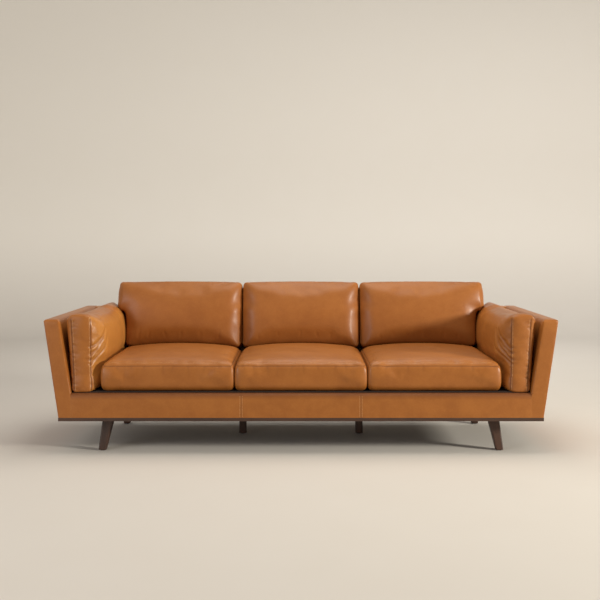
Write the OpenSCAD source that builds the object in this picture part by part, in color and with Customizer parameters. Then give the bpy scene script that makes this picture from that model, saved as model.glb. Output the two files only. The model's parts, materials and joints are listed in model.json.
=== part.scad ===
// Three-seat sofa: a leather-covered timber body that flares out over a dark wooden
// plinth, six wooden legs, zig-zag seat springs and eight loose cushions.
// X runs to the right, Y to the rear and Z up. The origin is on the floor, under the middle.

/* [Overall size] */
// Width over the tops of the arms
sofa_w = 2560; // [2400:10:2800]
// Depth from the front face to the rear edge of the back's top
sofa_d = 940; // [900:10:1000]
// Height of the arms and of the back frame above the floor
frame_h = 672; // [650:1:700]
// Outward lean of an arm's outer face, from plinth to top
arm_flare = 72; // [50:1:90]
// Rearward lean of the back, from plinth to top
back_flare = 86; // [76:1:96]
// Thickness of an arm at its top
arm_t = 72; // [66:1:84]
// How much thicker an arm is at the deck than at its top
arm_thicken = 8; // [4:1:16]
// Thickness of the back
back_t = 96; // [90:1:110]
// Radius of the soft edges of the arms and the back
edge_r = 14; // [10:1:18]

/* [Plinth and legs] */
// Height of the legs below the plinth
leg_h = 167; // [130:1:200]
// Thickness of the plinth boards
plinth_t = 17; // [15:1:22]
// Width of the plinth's front and side boards
plinth_w = 90; // [70:1:100]
// Width of the plinth's rear board
plinth_rear_w = 50; // [36:1:53]
// Width of the bearers that carry the legs
bearer_w = 120; // [110:1:140]
// Width of a corner leg at its top
leg_top_w = 57; // [48:1:62]
// Width of a corner leg at its foot
leg_foot_w = 38; // [30:1:44]
// Width of a middle leg
mid_leg_w = 40; // [34:1:46]
// How far a corner leg's foot stands out sideways from its top
leg_splay_x = 28; // [15:1:40]
// How far a corner leg's foot stands out to the front or rear from its top
leg_splay_y = 25; // [10:1:35]
// Distance from the plinth's side to the middle of a corner leg's top
leg_inset_x = 228; // [180:1:280]
// Distance from the plinth's front to the middle of a front leg's top
leg_inset_front = 135; // [125:1:160]
// Distance from the plinth's rear to the middle of a rear leg's top
leg_inset_rear = 100; // [98:1:150]
// Distance of the middle legs from the middle of the sofa
mid_leg_x = 320; // [260:1:400]
// Distance of the middle legs from the plinth's front
mid_leg_inset = 516; // [380:1:560]
// Side of a leg's steel plate
plate_w = 90; // [84:1:98]
// Thickness of a leg's steel plate
plate_t = 3; // [2:0.5:4]
// Diameter of a leg's hanger bolt
bolt_d = 8; // [6:1:10]
// Depth of the hanger bolt in a leg
bolt_depth = 40; // [30:1:60]
// Diameter of a plate screw's shank
screw_d = 4; // [3:0.5:5]
// Diameter of a plate screw's head
screw_head_d = 8; // [7:0.5:10]
// Depth of a plate screw in its bearer
screw_depth = 8; // [6:0.5:10]
// Diameter of a leg's glide
glide_d = 26; // [20:1:30]
// Thickness of a leg's glide
glide_t = 4; // [3:0.5:6]

/* [Seat frame] */
// Thickness of the timber rails and posts
rail_t = 22; // [20:1:26]
// Height of the seat rails
rail_h = 107; // [100:1:116]
// Height of the stretchers between the seat rails
stretcher_h = 60; // [45:1:75]
// Length of a corner block's legs
block_leg = 80; // [60:1:100]
// Height of a corner block
block_h = 70; // [50:1:90]
// Width of the arm and back posts
post_w = 34; // [28:1:50]
// Number of posts in the back frame
back_posts_n = 5; // [4:1:7]
// Height of the back's middle rail
mid_rail_h = 70; // [50:1:90]

/* [Suspension] */
// Diameter of the spring wire
spring_wire = 3.8; // [3.2:0.1:4.2]
// Width of a zig-zag spring
spring_w = 58; // [54:1:64]
// Distance between the bars of a zig-zag spring
spring_pitch = 38; // [34:1:46]
// Number of springs under each seat
springs_per_seat = 4; // [3:1:5]
// Thickness of the steel of a spring clip
clip_t = 1.5; // [1:0.1:2]
// Width of a spring clip
clip_w = 12; // [9:1:13]
// Width of the back's elastic straps
strap_w = 50; // [40:1:60]
// Thickness of the back's elastic straps
strap_t = 2; // [1.5:0.5:3]
// Number of straps between two back posts
straps_per_bay = 3; // [2:1:4]

/* [Padding and covers] */
// Thickness of the leather with its wadding
cover_t = 3; // [2:0.5:4]
// Thickness of the foam on the frame
foam_t = 10; // [8:0.5:12]
// Thickness of the felt pad on the springs
pad_t = 8; // [6:0.5:10]
// Thickness of the deck cloth under the cushions
deck_cloth_t = 2; // [1:0.5:3]
// Thickness of the dust cover
dust_t = 1; // [0.5:0.5:1.5]
// Distance of the front panels' seams from the middle
panel_seam_x = 298; // [240:1:360]
// Clearance between fixed pieces that lie against each other
fit_gap = 0.2; // [0.1:0.05:0.4]

/* [Loose cushions] */
// Thickness of a side cushion, from the arm to its place beside the seat
bolster_t = 144; // [134:1:150]
// Thickness of a side cushion between its top seams
bolster_top_t = 117; // [106:1:124]
// How far a side cushion bulges over the seat
bolster_bulge = 15; // [10:1:20]
// How far a side cushion leans out with the arm, from foot to top
bolster_lean = 21; // [14:1:30]
// Height of a side cushion
bolster_h = 366; // [350:1:380]
// Rise of a side cushion's top between its seams
bolster_rise = 24; // [12:1:30]
// Distance of a side cushion's front from the sofa's front
bolster_setback = 20; // [10:1:30]
// How evenly its inner panel turns in from the top seam: 1 is a plain arc, and less is fuller
bolster_fullness = 0.45; // [0.4:0.05:1]
// Height of a seat cushion at its side seams
seat_h = 147; // [135:1:160]
// Height of a seat cushion at its front seam
seat_front_h = 137; // [125:1:150]
// Rise of a seat cushion's top between its seams
seat_rise = 31; // [20:1:38]
// Distance of a seat cushion's front from the sofa's front
seat_setback = 10; // [5:1:20]
// Distance from a seat cushion's rear to the inside back
seat_rear_gap = 10; // [4:1:20]
// Height of a back cushion, along its lean, at its side seams
back_cushion_h = 352; // [330:1:370]
// Thickness of a back cushion at its foot
back_foot_t = 205; // [195:1:212]
// Thickness of a back cushion at its top
back_top_t = 175; // [160:1:185]
// Rise of a back cushion's front panel between its seams
back_rise = 20; // [10:1:28]
// How far an outer back cushion stands out over its side cushion
lobe_w = 46; // [30:1:55]
// Height of an outer back cushion's lobe above the cushion's foot, along its lean
lobe_rise = 203; // [196:1:212]
// How far the rear of a back cushion's foot sinks below the seat cushion's side seams
heel_drop = 10; // [6:1:16]
// Thickness of a loose cushion's cover
loose_cover_t = 3; // [2:0.5:4]
// Width of the opening that a loose cushion's zip closes
zip_w = 3; // [2:0.5:5]
// Distance of a zip's ends from the cushion's edges
zip_margin = 60; // [40:5:90]
// Gap between loose cushions, and between them and what they rest on
soft_gap = 0.6; // [0.5:0.1:1.2]

/* [Hidden] */

leather = [0.66, 0.40, 0.21];
walnut = [0.27, 0.19, 0.14];
timber = [0.80, 0.66, 0.46];
foam = [0.93, 0.87, 0.68];
steel = [0.62, 0.63, 0.65];
cloth = [0.20, 0.18, 0.17];

// Levels, from the floor up
base_z = leg_h + plinth_t;
rail_z = base_z + dust_t + fit_gap;
rail_top = rail_z + rail_h;
spring_z = rail_top + clip_t + fit_gap + spring_wire / 2;
pad_z = spring_z + spring_wire / 2 + clip_t + 2 * fit_gap;
deck_z = pad_z + pad_t + fit_gap + deck_cloth_t;

// Outline of the plinth
front_y = -sofa_d / 2;
base_hw = sofa_w / 2 - arm_flare;
base_rear = sofa_d / 2 - back_flare;

// Leaning faces of the arms and the back
lean_h = frame_h - base_z;
// The round top edges take a little off a leaning face, so it leans that much more
function round_loss(slope) = edge_r * (slope + sqrt(1 + slope * slope) - 1);
arm_slope = (arm_flare + round_loss(arm_flare / lean_h)) / lean_h;
back_slope = (back_flare + round_loss(back_flare / lean_h)) / lean_h;
function arm_out(z) = base_hw + arm_slope * (z - base_z);
arm_in_top = sofa_w / 2 - arm_t;
arm_in_deck = arm_out(deck_z) - arm_t - arm_thicken;
arm_in_slope = (arm_in_top - arm_in_deck) / (frame_h - deck_z);
// The inner face is upright below the deck
function arm_in(z) = arm_in_deck + arm_in_slope * max(z - deck_z, 0);
function back_out(z) = base_rear + back_slope * (z - base_z);
function back_in(z) = back_out(z) - back_t;
lean = atan(back_slope);

// Depths of the layers on the frame, from the leather inwards
foam_in = cover_t + fit_gap;
frame_in = foam_in + foam_t + fit_gap;

// Where the legs stand
corner_leg_x = base_hw - leg_inset_x;
front_leg_y = front_y + leg_inset_front;
rear_leg_y = base_rear - leg_inset_rear;
mid_leg_y = front_y + mid_leg_inset;
leg_tops = [
    for (x = [-corner_leg_x, corner_leg_x], y = [front_leg_y, rear_leg_y]) [x, y],
    for (x = [-mid_leg_x, mid_leg_x]) [x, mid_leg_y]];

// Places of the seat rails
rail_front_y = front_y + frame_in;
back_timber_y = back_in(rail_z) + frame_in * sqrt(1 + back_slope * back_slope);
rail_rear_y = back_timber_y - fit_gap;
side_rail_x = arm_in_deck - fit_gap;
seat_inner_y0 = rail_front_y + rail_t;
seat_inner_y1 = rail_rear_y - rail_t;

// A little more than any piece, for cuts that run right through
through = 1;
far = sofa_w;

// A convex outline with round corners: a polygon that joins the tangent points, and a
// circle in each corner
function unit(v) = v / norm(v);
function to_last(pts, i) = unit(pts[(i + len(pts) - 1) % len(pts)] - pts[i]);
function to_next(pts, i) = unit(pts[(i + 1) % len(pts)] - pts[i]);
function half_angle(pts, i) = acos(to_last(pts, i) * to_next(pts, i)) / 2;
module round_outline(pts, radii) {
    n = len(pts);
    polygon([for (i = [0 : n - 1]) let (reach = radii[i] / tan(half_angle(pts, i)))
        each (radii[i] > 0
            ? [pts[i] + to_last(pts, i) * reach, pts[i] + to_next(pts, i) * reach]
            : [pts[i]])]);
    for (i = [0 : n - 1])
        if (radii[i] > 0)
            translate(pts[i] + unit(to_last(pts, i) + to_next(pts, i)) * radii[i] / sin(half_angle(pts, i)))
                circle(r = radii[i], $fn = 48);
}

// Extrusions along Y and X, of outlines drawn in XZ and YZ
module along_y(y0, y1) {
    translate([0, y1, 0]) rotate([90, 0, 0]) linear_extrude(height = y1 - y0) children();
}
module along_x(x0, x1) {
    translate([x0, 0, 0]) rotate([90, 0, 90]) linear_extrude(height = x1 - x0) children();
}

// A box from its low corner to its high corner
module block(low, high) {
    translate(low) cube(high - low);
}

// The right arm as a solid, with every outer face moved inwards by d
module arm_block(d, foot = base_z) {
    r = max(edge_r - d, 0);
    out_d = d * sqrt(1 + arm_slope * arm_slope);
    in_d = d * sqrt(1 + arm_in_slope * arm_in_slope);
    rear_d = d * sqrt(1 + back_slope * back_slope);
    top = frame_h - d;
    bend = deck_z - (in_d - d) / arm_in_slope;
    intersection() {
        along_y(front_y - through, far) round_outline([
            [arm_in_deck + d, foot], [arm_out(foot) - out_d, foot],
            [arm_out(top) - out_d, top], [arm_in(top) + in_d, top], [arm_in_deck + d, bend]],
            [0, 0, r, r, 0]);
        along_x(0, far) round_outline([
            [front_y + d, foot], [back_out(foot) - rear_d, foot],
            [back_out(top) - rear_d, top], [front_y + d, top]], [0, 0, r, r]);
    }
}

// The back between the arms as a solid, with its front, top and rear moved inwards by d
module back_block(d, foot = base_z) {
    r = max(edge_r - d, 0);
    lean_d = d * sqrt(1 + back_slope * back_slope);
    top = frame_h - d;
    hw_deck = arm_in_deck - fit_gap;
    hw_top = arm_in(top) - fit_gap;
    intersection() {
        along_x(-far, far) round_outline([
            [back_in(foot) + lean_d, foot], [back_out(foot) - lean_d, foot],
            [back_out(top) - lean_d, top], [back_in(top) + lean_d, top]], [0, 0, r, r]);
        along_y(-far, far) polygon([
            [-hw_deck, foot], [hw_deck, foot], [hw_deck, deck_z],
            [hw_top, top], [-hw_top, top], [-hw_deck, deck_z]]);
    }
}

// Puts what is drawn for the right side on the left or the right
module side(s) {
    if (s > 0) children();
    else mirror([1, 0, 0]) children();
}

// ---- Plinth and legs ----

plinth_in_x = base_hw - plinth_w;
plinth_in_y0 = front_y + plinth_w;
plinth_in_y1 = base_rear - plinth_rear_w;

module plinth_board(pts) {
    color(walnut) translate([0, 0, leg_h]) linear_extrude(height = plinth_t) polygon(pts);
}
module plinth_front() {
    plinth_board([[-base_hw, front_y], [base_hw, front_y],
        [plinth_in_x, plinth_in_y0], [-plinth_in_x, plinth_in_y0]]);
}
module plinth_rear() {
    plinth_board([[-plinth_in_x, plinth_in_y1], [plinth_in_x, plinth_in_y1],
        [base_hw, base_rear], [-base_hw, base_rear]]);
}
module plinth_side() {
    plinth_board([[base_hw, front_y], [base_hw, base_rear],
        [plinth_in_x, plinth_in_y1], [plinth_in_x, plinth_in_y0]]);
}

screw_at = plate_w / 2 - screw_head_d;
function screw_spots() = [for (p = leg_tops, i = [-1, 1], j = [-1, 1]) p + screw_at * [i, j]];

module plinth_bearers() {
    color(walnut) difference() {
        for (x = [-corner_leg_x, -mid_leg_x, mid_leg_x, corner_leg_x])
            block([x - bearer_w / 2, plinth_in_y0, leg_h], [x + bearer_w / 2, plinth_in_y1, base_z]);
        for (p = leg_tops) {
            plate_hw = plate_w / 2 + fit_gap;
            block([p.x - plate_hw, p.y - plate_hw, leg_h - through],
                [p.x + plate_hw, p.y + plate_hw, leg_h + plate_t]);
            translate([p.x, p.y, leg_h]) cylinder(d = bolt_d + 2 * fit_gap, h = 2 * plinth_t, $fn = 32);
        }
        for (p = screw_spots())
            translate([p.x, p.y, leg_h])
                cylinder(d = screw_d + 2 * fit_gap, h = plate_t + screw_depth + fit_gap, $fn = 24);
    }
}

module leg_plates() {
    color(steel) difference() {
        for (p = leg_tops)
            translate([p.x - plate_w / 2, p.y - plate_w / 2, leg_h]) cube([plate_w, plate_w, plate_t]);
        for (p = leg_tops)
            translate([p.x, p.y, leg_h - through])
                cylinder(d = bolt_d + 2 * fit_gap, h = plate_t + 2 * through, $fn = 32);
        for (p = screw_spots())
            translate([p.x, p.y, leg_h - through])
                cylinder(d = screw_head_d + 2 * fit_gap, h = plate_t + 2 * through, $fn = 24);
    }
}

module leg_bolts() {
    color(steel) for (p = leg_tops)
        translate([p.x, p.y, leg_h - bolt_depth])
            cylinder(d = bolt_d, h = bolt_depth + plinth_t - fit_gap, $fn = 32);
}

module plate_screws() {
    color(steel) for (p = screw_spots())
        translate([p.x, p.y, leg_h]) {
            cylinder(d = screw_head_d, h = plate_t, $fn = 24);
            cylinder(d = screw_d, h = plate_t + screw_depth, $fn = 24);
        }
}

// A square with round corners, as a leg's section
module leg_section(w) {
    soft = w / 6;
    square([w, w - 2 * soft], center = true);
    square([w - 2 * soft, w], center = true);
    for (i = [-1, 1], j = [-1, 1])
        translate([i * (w / 2 - soft), j * (w / 2 - soft)]) circle(r = soft, $fn = 32);
}
module bolt_bore(at) {
    translate([at.x, at.y, leg_h - bolt_depth - fit_gap])
        cylinder(d = bolt_d + 2 * fit_gap, h = bolt_depth + through, $fn = 32);
}
// A corner leg tapers from its plate to its glide and splays out to its corner
module corner_leg(sx, sy) {
    at = [sx * corner_leg_x, sy < 0 ? front_leg_y : rear_leg_y];
    thin = 0.5;
    color(walnut) difference() {
        hull() {
            translate([at.x, at.y, leg_h - thin])
                linear_extrude(height = thin) leg_section(leg_top_w);
            translate([at.x + sx * leg_splay_x, at.y + sy * leg_splay_y, glide_t])
                linear_extrude(height = thin) leg_section(leg_foot_w);
        }
        bolt_bore(at);
    }
}
module middle_leg(sx) {
    at = [sx * mid_leg_x, mid_leg_y];
    color(walnut) difference() {
        translate([at.x, at.y, glide_t])
            linear_extrude(height = leg_h - glide_t) leg_section(mid_leg_w);
        bolt_bore(at);
    }
}

module leg_glides() {
    color(cloth) {
        for (sx = [-1, 1], sy = [-1, 1])
            translate([sx * (corner_leg_x + leg_splay_x),
                (sy < 0 ? front_leg_y : rear_leg_y) + sy * leg_splay_y, 0])
                cylinder(d = glide_d, h = glide_t, $fn = 48);
        for (sx = [-1, 1])
            translate([sx * mid_leg_x, mid_leg_y, 0]) cylinder(d = glide_d, h = glide_t, $fn = 48);
    }
}

// ---- Seat frame ----

module seat_rail_front() {
    color(timber) block([-side_rail_x, rail_front_y, rail_z], [side_rail_x, seat_inner_y0, rail_top]);
}
module seat_rail_rear() {
    color(timber) block([-side_rail_x, seat_inner_y1, rail_z], [side_rail_x, rail_rear_y, rail_top]);
}
module seat_rail_side() {
    color(timber) block([side_rail_x - rail_t, seat_inner_y0, rail_z],
        [side_rail_x, seat_inner_y1, rail_top]);
}
module seat_stretchers() {
    color(timber) for (x = [-mid_leg_x, mid_leg_x])
        block([x - rail_t / 2, seat_inner_y0, rail_z],
            [x + rail_t / 2, seat_inner_y1, rail_z + stretcher_h]);
}
module corner_blocks() {
    x = side_rail_x - rail_t;
    color(timber) for (sx = [-1, 1])
        translate([0, 0, rail_z]) linear_extrude(height = block_h) {
            polygon([[sx * x, seat_inner_y0], [sx * (x - block_leg), seat_inner_y0],
                [sx * x, seat_inner_y0 + block_leg]]);
            polygon([[sx * x, seat_inner_y1], [sx * (x - block_leg), seat_inner_y1],
                [sx * x, seat_inner_y1 - block_leg]]);
        }
}

// ---- Arms ----

arm_rear_y = back_out(rail_z) - frame_in * 2;
module arm_posts() {
    ys = [front_y + frame_in, (front_y + arm_rear_y - post_w) / 2, arm_rear_y - post_w];
    color(timber) for (y = ys)
        intersection() {
            arm_block(frame_in, rail_z);
            block([0, y, rail_z + rail_t], [far, y + post_w, frame_h - frame_in - rail_t]);
        }
}
module arm_boards() {
    color(timber) for (z = [rail_z, frame_h - frame_in - rail_t])
        intersection() {
            arm_block(frame_in, rail_z);
            block([0, -far, z], [far, far, z + rail_t]);
        }
}
module arm_foam() {
    color(foam) difference() {
        arm_block(foam_in);
        arm_block(foam_in + foam_t, base_z - through);
    }
}
module arm_cover() {
    color(leather) difference() {
        arm_block(0);
        arm_block(cover_t, base_z - through);
    }
}

// ---- Back ----

back_rail_hw = arm_in(rail_z) - 2 * fit_gap;
back_post_pitch = (2 * back_rail_hw - post_w) / (back_posts_n - 1);
back_post_x = [for (i = [0 : back_posts_n - 1]) -back_rail_hw + post_w / 2 + i * back_post_pitch];
back_top_z = frame_h - frame_in - rail_t;
back_mid_z = (rail_top + back_top_z) / 2;
strap_y = base_rear - back_t + frame_in * sqrt(1 + back_slope * back_slope);

// The frame of the back: what lies inside the padding, cut to a band of height and width
module back_timber(x0, x1, z0, z1) {
    color(timber) intersection() {
        back_block(frame_in, rail_z);
        block([x0, -far, z0], [x1, far, z1]);
    }
}
module back_posts() {
    for (x = back_post_x)
        back_timber(x - post_w / 2, x + post_w / 2, rail_z + rail_t, back_top_z);
}
module back_top_rail() {
    back_timber(-far, far, back_top_z, frame_h);
}
module back_bottom_rail() {
    back_timber(-far, far, rail_z, rail_z + rail_t);
}
module back_middle_rail() {
    lean_d = frame_in * sqrt(1 + back_slope * back_slope);
    for (i = [0 : back_posts_n - 2])
        intersection() {
            back_timber(back_post_x[i] + post_w / 2, back_post_x[i + 1] - post_w / 2,
                back_mid_z - mid_rail_h / 2, back_mid_z + mid_rail_h / 2);
            lean_slab(base_rear - lean_d - rail_t, base_rear, base_z, frame_h);
        }
}
// The front of the back starts at the deck
module below_deck() {
    block([-far, -far, base_z - through], [far, back_in(base_z) + back_t / 2, deck_z]);
}
module back_foam() {
    color(foam) difference() {
        back_block(foam_in);
        back_block(foam_in + foam_t, base_z - through);
        below_deck();
        // Room for the straps on the front of the posts
        lean_slab(strap_y - strap_t - fit_gap, strap_y + fit_gap, base_z - through, back_top_z + rail_t);
    }
}
// A slab that leans with the back, from the plane at depth y0 to the plane at depth y1
module lean_slab(y0, y1, z0, z1) {
    along_x(-far, far) polygon([
        [y0 + back_slope * (z0 - base_z), z0], [y1 + back_slope * (z0 - base_z), z0],
        [y1 + back_slope * (z1 - base_z), z1], [y0 + back_slope * (z1 - base_z), z1]]);
}
back_wrap = 20;
module inside_back_cover() {
    color(leather) difference() {
        back_block(0);
        back_block(cover_t, base_z - through);
        below_deck();
        lean_slab(base_rear - back_t / 2, base_rear + back_t, base_z - through, frame_h - back_wrap);
    }
}
module outside_back_cover() {
    color(leather) intersection() {
        difference() {
            back_block(0);
            back_block(cover_t, base_z - through);
        }
        lean_slab(base_rear - back_t / 2, base_rear + back_t, base_z - through,
            frame_h - back_wrap - fit_gap);
    }
}

// ---- Suspension ----

spring_y0 = seat_inner_y0 - rail_t / 3;
spring_y1 = seat_inner_y1 + rail_t / 3;
spring_gaps = round((spring_y1 - spring_y0) / spring_pitch);
// A round number, so that bars and bends meet exactly
spring_step = round(50 * (spring_y1 - spring_y0) / spring_gaps) / 50;
spring_bar = spring_w - spring_step;

// Halves of the spans that the loose cushions share
seat_edge = arm_in(deck_z) - bolster_t;
seat_pitch = 2 * seat_edge / 3;
seat_xs = [-seat_pitch, 0, seat_pitch];
spring_xs = [for (x = seat_xs, i = [0 : springs_per_seat - 1])
    x + seat_pitch * ((i + 0.5) / springs_per_seat - 0.5)];

module zigzag_spring() {
    for (i = [0 : spring_gaps])
        translate([0, i * spring_step, 0]) rotate([0, 90, 0])
            cylinder(d = spring_wire, h = spring_bar, center = true, $fn = 24);
    for (i = [0 : spring_gaps - 1]) {
        s = i % 2 == 0 ? 1 : -1;
        translate([s * spring_bar / 2, (i + 0.5) * spring_step, 0]) rotate([0, 0, -90 * s])
            rotate_extrude(angle = 180, $fn = 32)
                translate([spring_step / 2, 0]) circle(d = spring_wire, $fn = 24);
    }
}
module seat_springs() {
    color(steel) for (x = spring_xs)
        translate([x, spring_y0, spring_z]) zigzag_spring();
}

// A clip: a strip bent round the end bar of a spring and nailed to the rail
module spring_clip(s) {
    reach = spring_wire / 2 + fit_gap;
    color(steel) along_x(-clip_w / 2, clip_w / 2) difference() {
        union() {
            circle(r = reach + clip_t, $fn = 32);
            translate([s > 0 ? 0 : -rail_t / 4, -reach - clip_t]) square([rail_t / 4, clip_t]);
        }
        circle(r = reach, $fn = 32);
        // The mouth, towards the seat
        translate([s > 0 ? -2 * reach - clip_t : 0, -reach])
            square([2 * reach + clip_t, 2 * reach]);
    }
}
module spring_clips() {
    for (x = spring_xs) {
        translate([x, spring_y0, spring_z]) spring_clip(-1);
        translate([x, spring_y0 + spring_gaps * spring_step, spring_z]) spring_clip(1);
    }
}

module deck_pad() {
    color(cloth) block([-side_rail_x, seat_inner_y0 - rail_t / 2, pad_z],
        [side_rail_x, back_in(pad_z) - fit_gap, pad_z + pad_t]);
}
module deck_cloth() {
    color(cloth) block([-side_rail_x, seat_inner_y0 - rail_t / 2, deck_z - deck_cloth_t],
        [side_rail_x, back_in(pad_z) - fit_gap, deck_z]);
}
module dust_cover() {
    color(cloth) block([-side_rail_x, rail_front_y, base_z], [side_rail_x, rail_rear_y, base_z + dust_t]);
}

// Straps across each bay of the back, tacked to the front of its posts
strap_rise = (back_top_z - deck_z) / straps_per_bay;
module back_straps() {
    color(cloth) for (i = [0 : straps_per_bay - 1]) {
        z = deck_z + (i + 0.5) * strap_rise;
        intersection() {
            lean_slab(strap_y - strap_t, strap_y, z - strap_w / 2, z + strap_w / 2);
            block([-back_rail_hw, -far, 0], [back_rail_hw, far, frame_h]);
        }
    }
}

// ---- Front rail ----

rail_cover_top = rail_top + foam_t + cover_t + 2 * fit_gap;
module rail_layer(d, t) {
    r = max(edge_r - d, 1);
    inner_r = r - t > 2 ? r - t : 0;
    y0 = front_y + d;
    y1 = rail_front_y + rail_t / 3;
    y2 = rail_front_y + 2 * rail_t;
    top = rail_cover_top - d;
    difference() {
        round_outline([[y0, base_z], [y2, base_z], [y2, top], [y0, top]], [0, 0, 0, r]);
        round_outline([[y0 + t, base_z - through], [y2 + through, base_z - through],
            [y2 + through, top - t], [y0 + t, top - t]], [0, 0, 0, inner_r]);
        translate([y1, base_z - through]) square([3 * rail_t, rail_h + edge_r + foam_t + cover_t]);
    }
}
module rail_foam() {
    color(foam) along_x(-side_rail_x, side_rail_x) rail_layer(foam_in, foam_t);
}
module front_rail_cover() {
    ends = [-side_rail_x, -panel_seam_x, panel_seam_x, side_rail_x];
    color(leather) for (i = [0 : 2])
        along_x(ends[i] + fit_gap, ends[i + 1] - fit_gap) rail_layer(0, cover_t);
}

// ---- Loose cushions ----

// Skins a stack of outlines that all have the same number of points. Outlines that are a
// row and a row back can be closed at the ends by strips between their rows.
module loft(rings, two_rows = false) {
    n = len(rings[0]);
    m = len(rings);
    points = [for (ring = rings) each ring];
    walls = [for (k = [0 : m - 2], i = [0 : n - 1]) let (j = (i + 1) % n, a = k * n, b = a + n)
        each [[a + i, a + j, b + j], [a + i, b + j, b + i]]];
    low = [for (i = [0 : n - 1]) n - 1 - i];
    row = two_rows ? [for (i = [0 : n / 2 - 2]) [i, n - 1 - i, n - 2 - i, i + 1]] : [low];
    high = [for (face = row) [for (i = [len(face) - 1 : -1 : 0]) (m - 1) * n + face[i]]];
    polyhedron(points = points, faces = concat(walls, row, high), convexity = 4);
}
// Draws rings together towards a middle point, so that each side comes in by about d
function shrunk(rings, middle, size, d) =
    [for (ring = rings) [for (p = ring)
        [for (k = [0 : 2]) middle[k] + (p[k] - middle[k]) * (size[k] - 2 * d) / size[k]]]];
// A cover with an inside, open along its zip, which the children cut
module cushion_cover(rings, middle, size, two_rows = false) {
    color(leather) difference() {
        loft(rings, two_rows);
        loft(shrunk(rings, middle, size, loose_cover_t), two_rows);
        children();
    }
}
module cushion_core(rings, middle, size, two_rows = false) {
    color(foam) loft(shrunk(rings, middle, size, loose_cover_t + fit_gap), two_rows);
}

rest_gap = soft_gap / 2;
cushion_z = deck_z + rest_gap;
seat_hw = seat_pitch / 2 - rest_gap;
seat_y0 = front_y + seat_setback;
seat_y1 = back_in(deck_z) - seat_rear_gap;
bolster_y0 = front_y + bolster_setback;

// Where a back cushion's heel rests, and the plane of its foot, square to its lean
heel_z = cushion_z + seat_h - heel_drop;
heel_y = back_in(heel_z) - soft_gap;
function foot_plane(y) = heel_z + (heel_y - y) * back_slope;

// Rise of a crowned panel across its width, from 1 in the middle to 0 at u = -1 and 1
function crown(u) = 1 - pow(min(abs(u), 1), 2.2);
// Places of a loft's outlines from 0 to 1, closer together near the ends
rings_n = 9;
function place(k) = (1 - cos(180 * k / rings_n)) / 2;
function mix(a, b, f) = a + (b - a) * min(max(f, 0), 1);

// How far the seat's sides lie below its middle where a back cushion's foot stands
foot_sag = seat_rise * 0.8;
function sag(u) = foot_sag * (1 - crown(u));

corner_cut = 10;
// Least share of a panel's rise, at its ends
end_rise = 0.06;
seat_front_cut = 26;
function seat_top(u, y) =
    let (
        t = (y - seat_y0) / (seat_y1 - seat_y0),
        side_h = mix(seat_front_h, seat_h, t * 5),
        rise = seat_rise * max(pow(sin(180 * pow(t, 1.15)), 0.6), end_rise))
    min(cushion_z + side_h + rise * crown(u), foot_plane(y) - soft_gap - rest_gap - sag(u));
function seat_outline(x, y, low) = [
    [x - seat_hw + corner_cut, y, low],
    [x + seat_hw - corner_cut, y, low],
    [x + seat_hw, y, low + corner_cut],
    for (i = [4 : -1 : -4]) [x + seat_hw * i / 4, y, seat_top(i / 4, y)],
    [x - seat_hw, y, low + corner_cut]];
function seat_rings(x) = [for (k = [0 : rings_n])
    seat_outline(x, mix(seat_y0, seat_y1, place(k)), cushion_z + (k == 0 ? seat_front_cut : 0))];
function seat_middle(x) = [x, (seat_y0 + seat_y1) / 2, cushion_z + seat_h / 2];
seat_size = [2 * seat_hw, seat_y1 - seat_y0, seat_h];

// The zip of a seat cushion is in the rear of its boxing
module seat_cushion(x) {
    zip_hw = seat_hw - zip_margin;
    zip_z = cushion_z + seat_h / 3;
    cushion_cover(seat_rings(x), seat_middle(x), seat_size)
        block([x - zip_hw, seat_y1 - 2 * loose_cover_t, zip_z],
            [x + zip_hw, seat_y1 + through, zip_z + zip_w]);
}
module seat_core(x) {
    cushion_core(seat_rings(x), seat_middle(x), seat_size);
}

// The back cushions are stacks of sections up their lean. Each section is a row of points
// across the rear and a row back across the crowned front.
back_cols = 8;
foot_in = 4;
top_round = 20;
top_swell = 6;
lobe_x0 = seat_edge - bolster_bulge - soft_gap;
lobe_x1 = seat_edge + lobe_w;
lobe_top_in = 12;
lobe_step = 12;
back_levels = concat([for (f = [0, 0.15, 0.5, 1]) f * lobe_rise], [lobe_rise + lobe_step],
    [for (f = [0.25, 0.7, 1]) mix(lobe_rise + lobe_step, back_cushion_h - top_round, f)],
    [back_cushion_h - top_round * 0.4, back_cushion_h]);
// How far a round top corner stands in from the side at a height
function top_in(h) = let (d = max(h - back_cushion_h + top_round, 0))
    top_round - sqrt(max(top_round * top_round - d * d, 0));
function foot_width_loss(h) = foot_in * (1 - min(h / lobe_rise, 1));
function side_of(h, edge, out) = edge - out * (foot_width_loss(h) + top_in(h) * 0.8);
function lobe_side(h) = h < lobe_rise + lobe_step / 2
    ? lobe_x0 - foot_width_loss(h)
    : lobe_x1 - mix(0, lobe_top_in, (h - lobe_rise) / (back_cushion_h - lobe_rise)) - top_in(h) * 0.8;
function back_thickness(h) = mix(back_foot_t, back_top_t, h / back_cushion_h);
function back_level(h, x0, x1, seat_x) =
    let (
        c = back_cushion_h,
        panel = pow(crown(2 * h / c - 1), 0.8) * back_rise,
        xs = [for (i = [0 : back_cols]) mix(x0, x1, i / back_cols)],
        zs = [for (x = xs) h
            - (h == 0 ? sag((x - seat_x) / seat_hw) * cos(lean) : 0)
            + (h == c ? top_swell * crown(2 * (x - x0) / (x1 - x0) - 1) : 0)])
    concat(
        [for (i = [0 : back_cols]) [xs[i], -top_in(h) / 4, zs[i]]],
        [for (i = [back_cols : -1 : 0])
            [xs[i], top_in(h) / 4 - back_thickness(h) - panel * crown(2 * i / back_cols - 1), zs[i]]]);
middle_back = [for (h = back_levels)
    back_level(h, side_of(h, -seat_hw, -1), side_of(h, seat_hw, 1), 0)];
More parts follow.
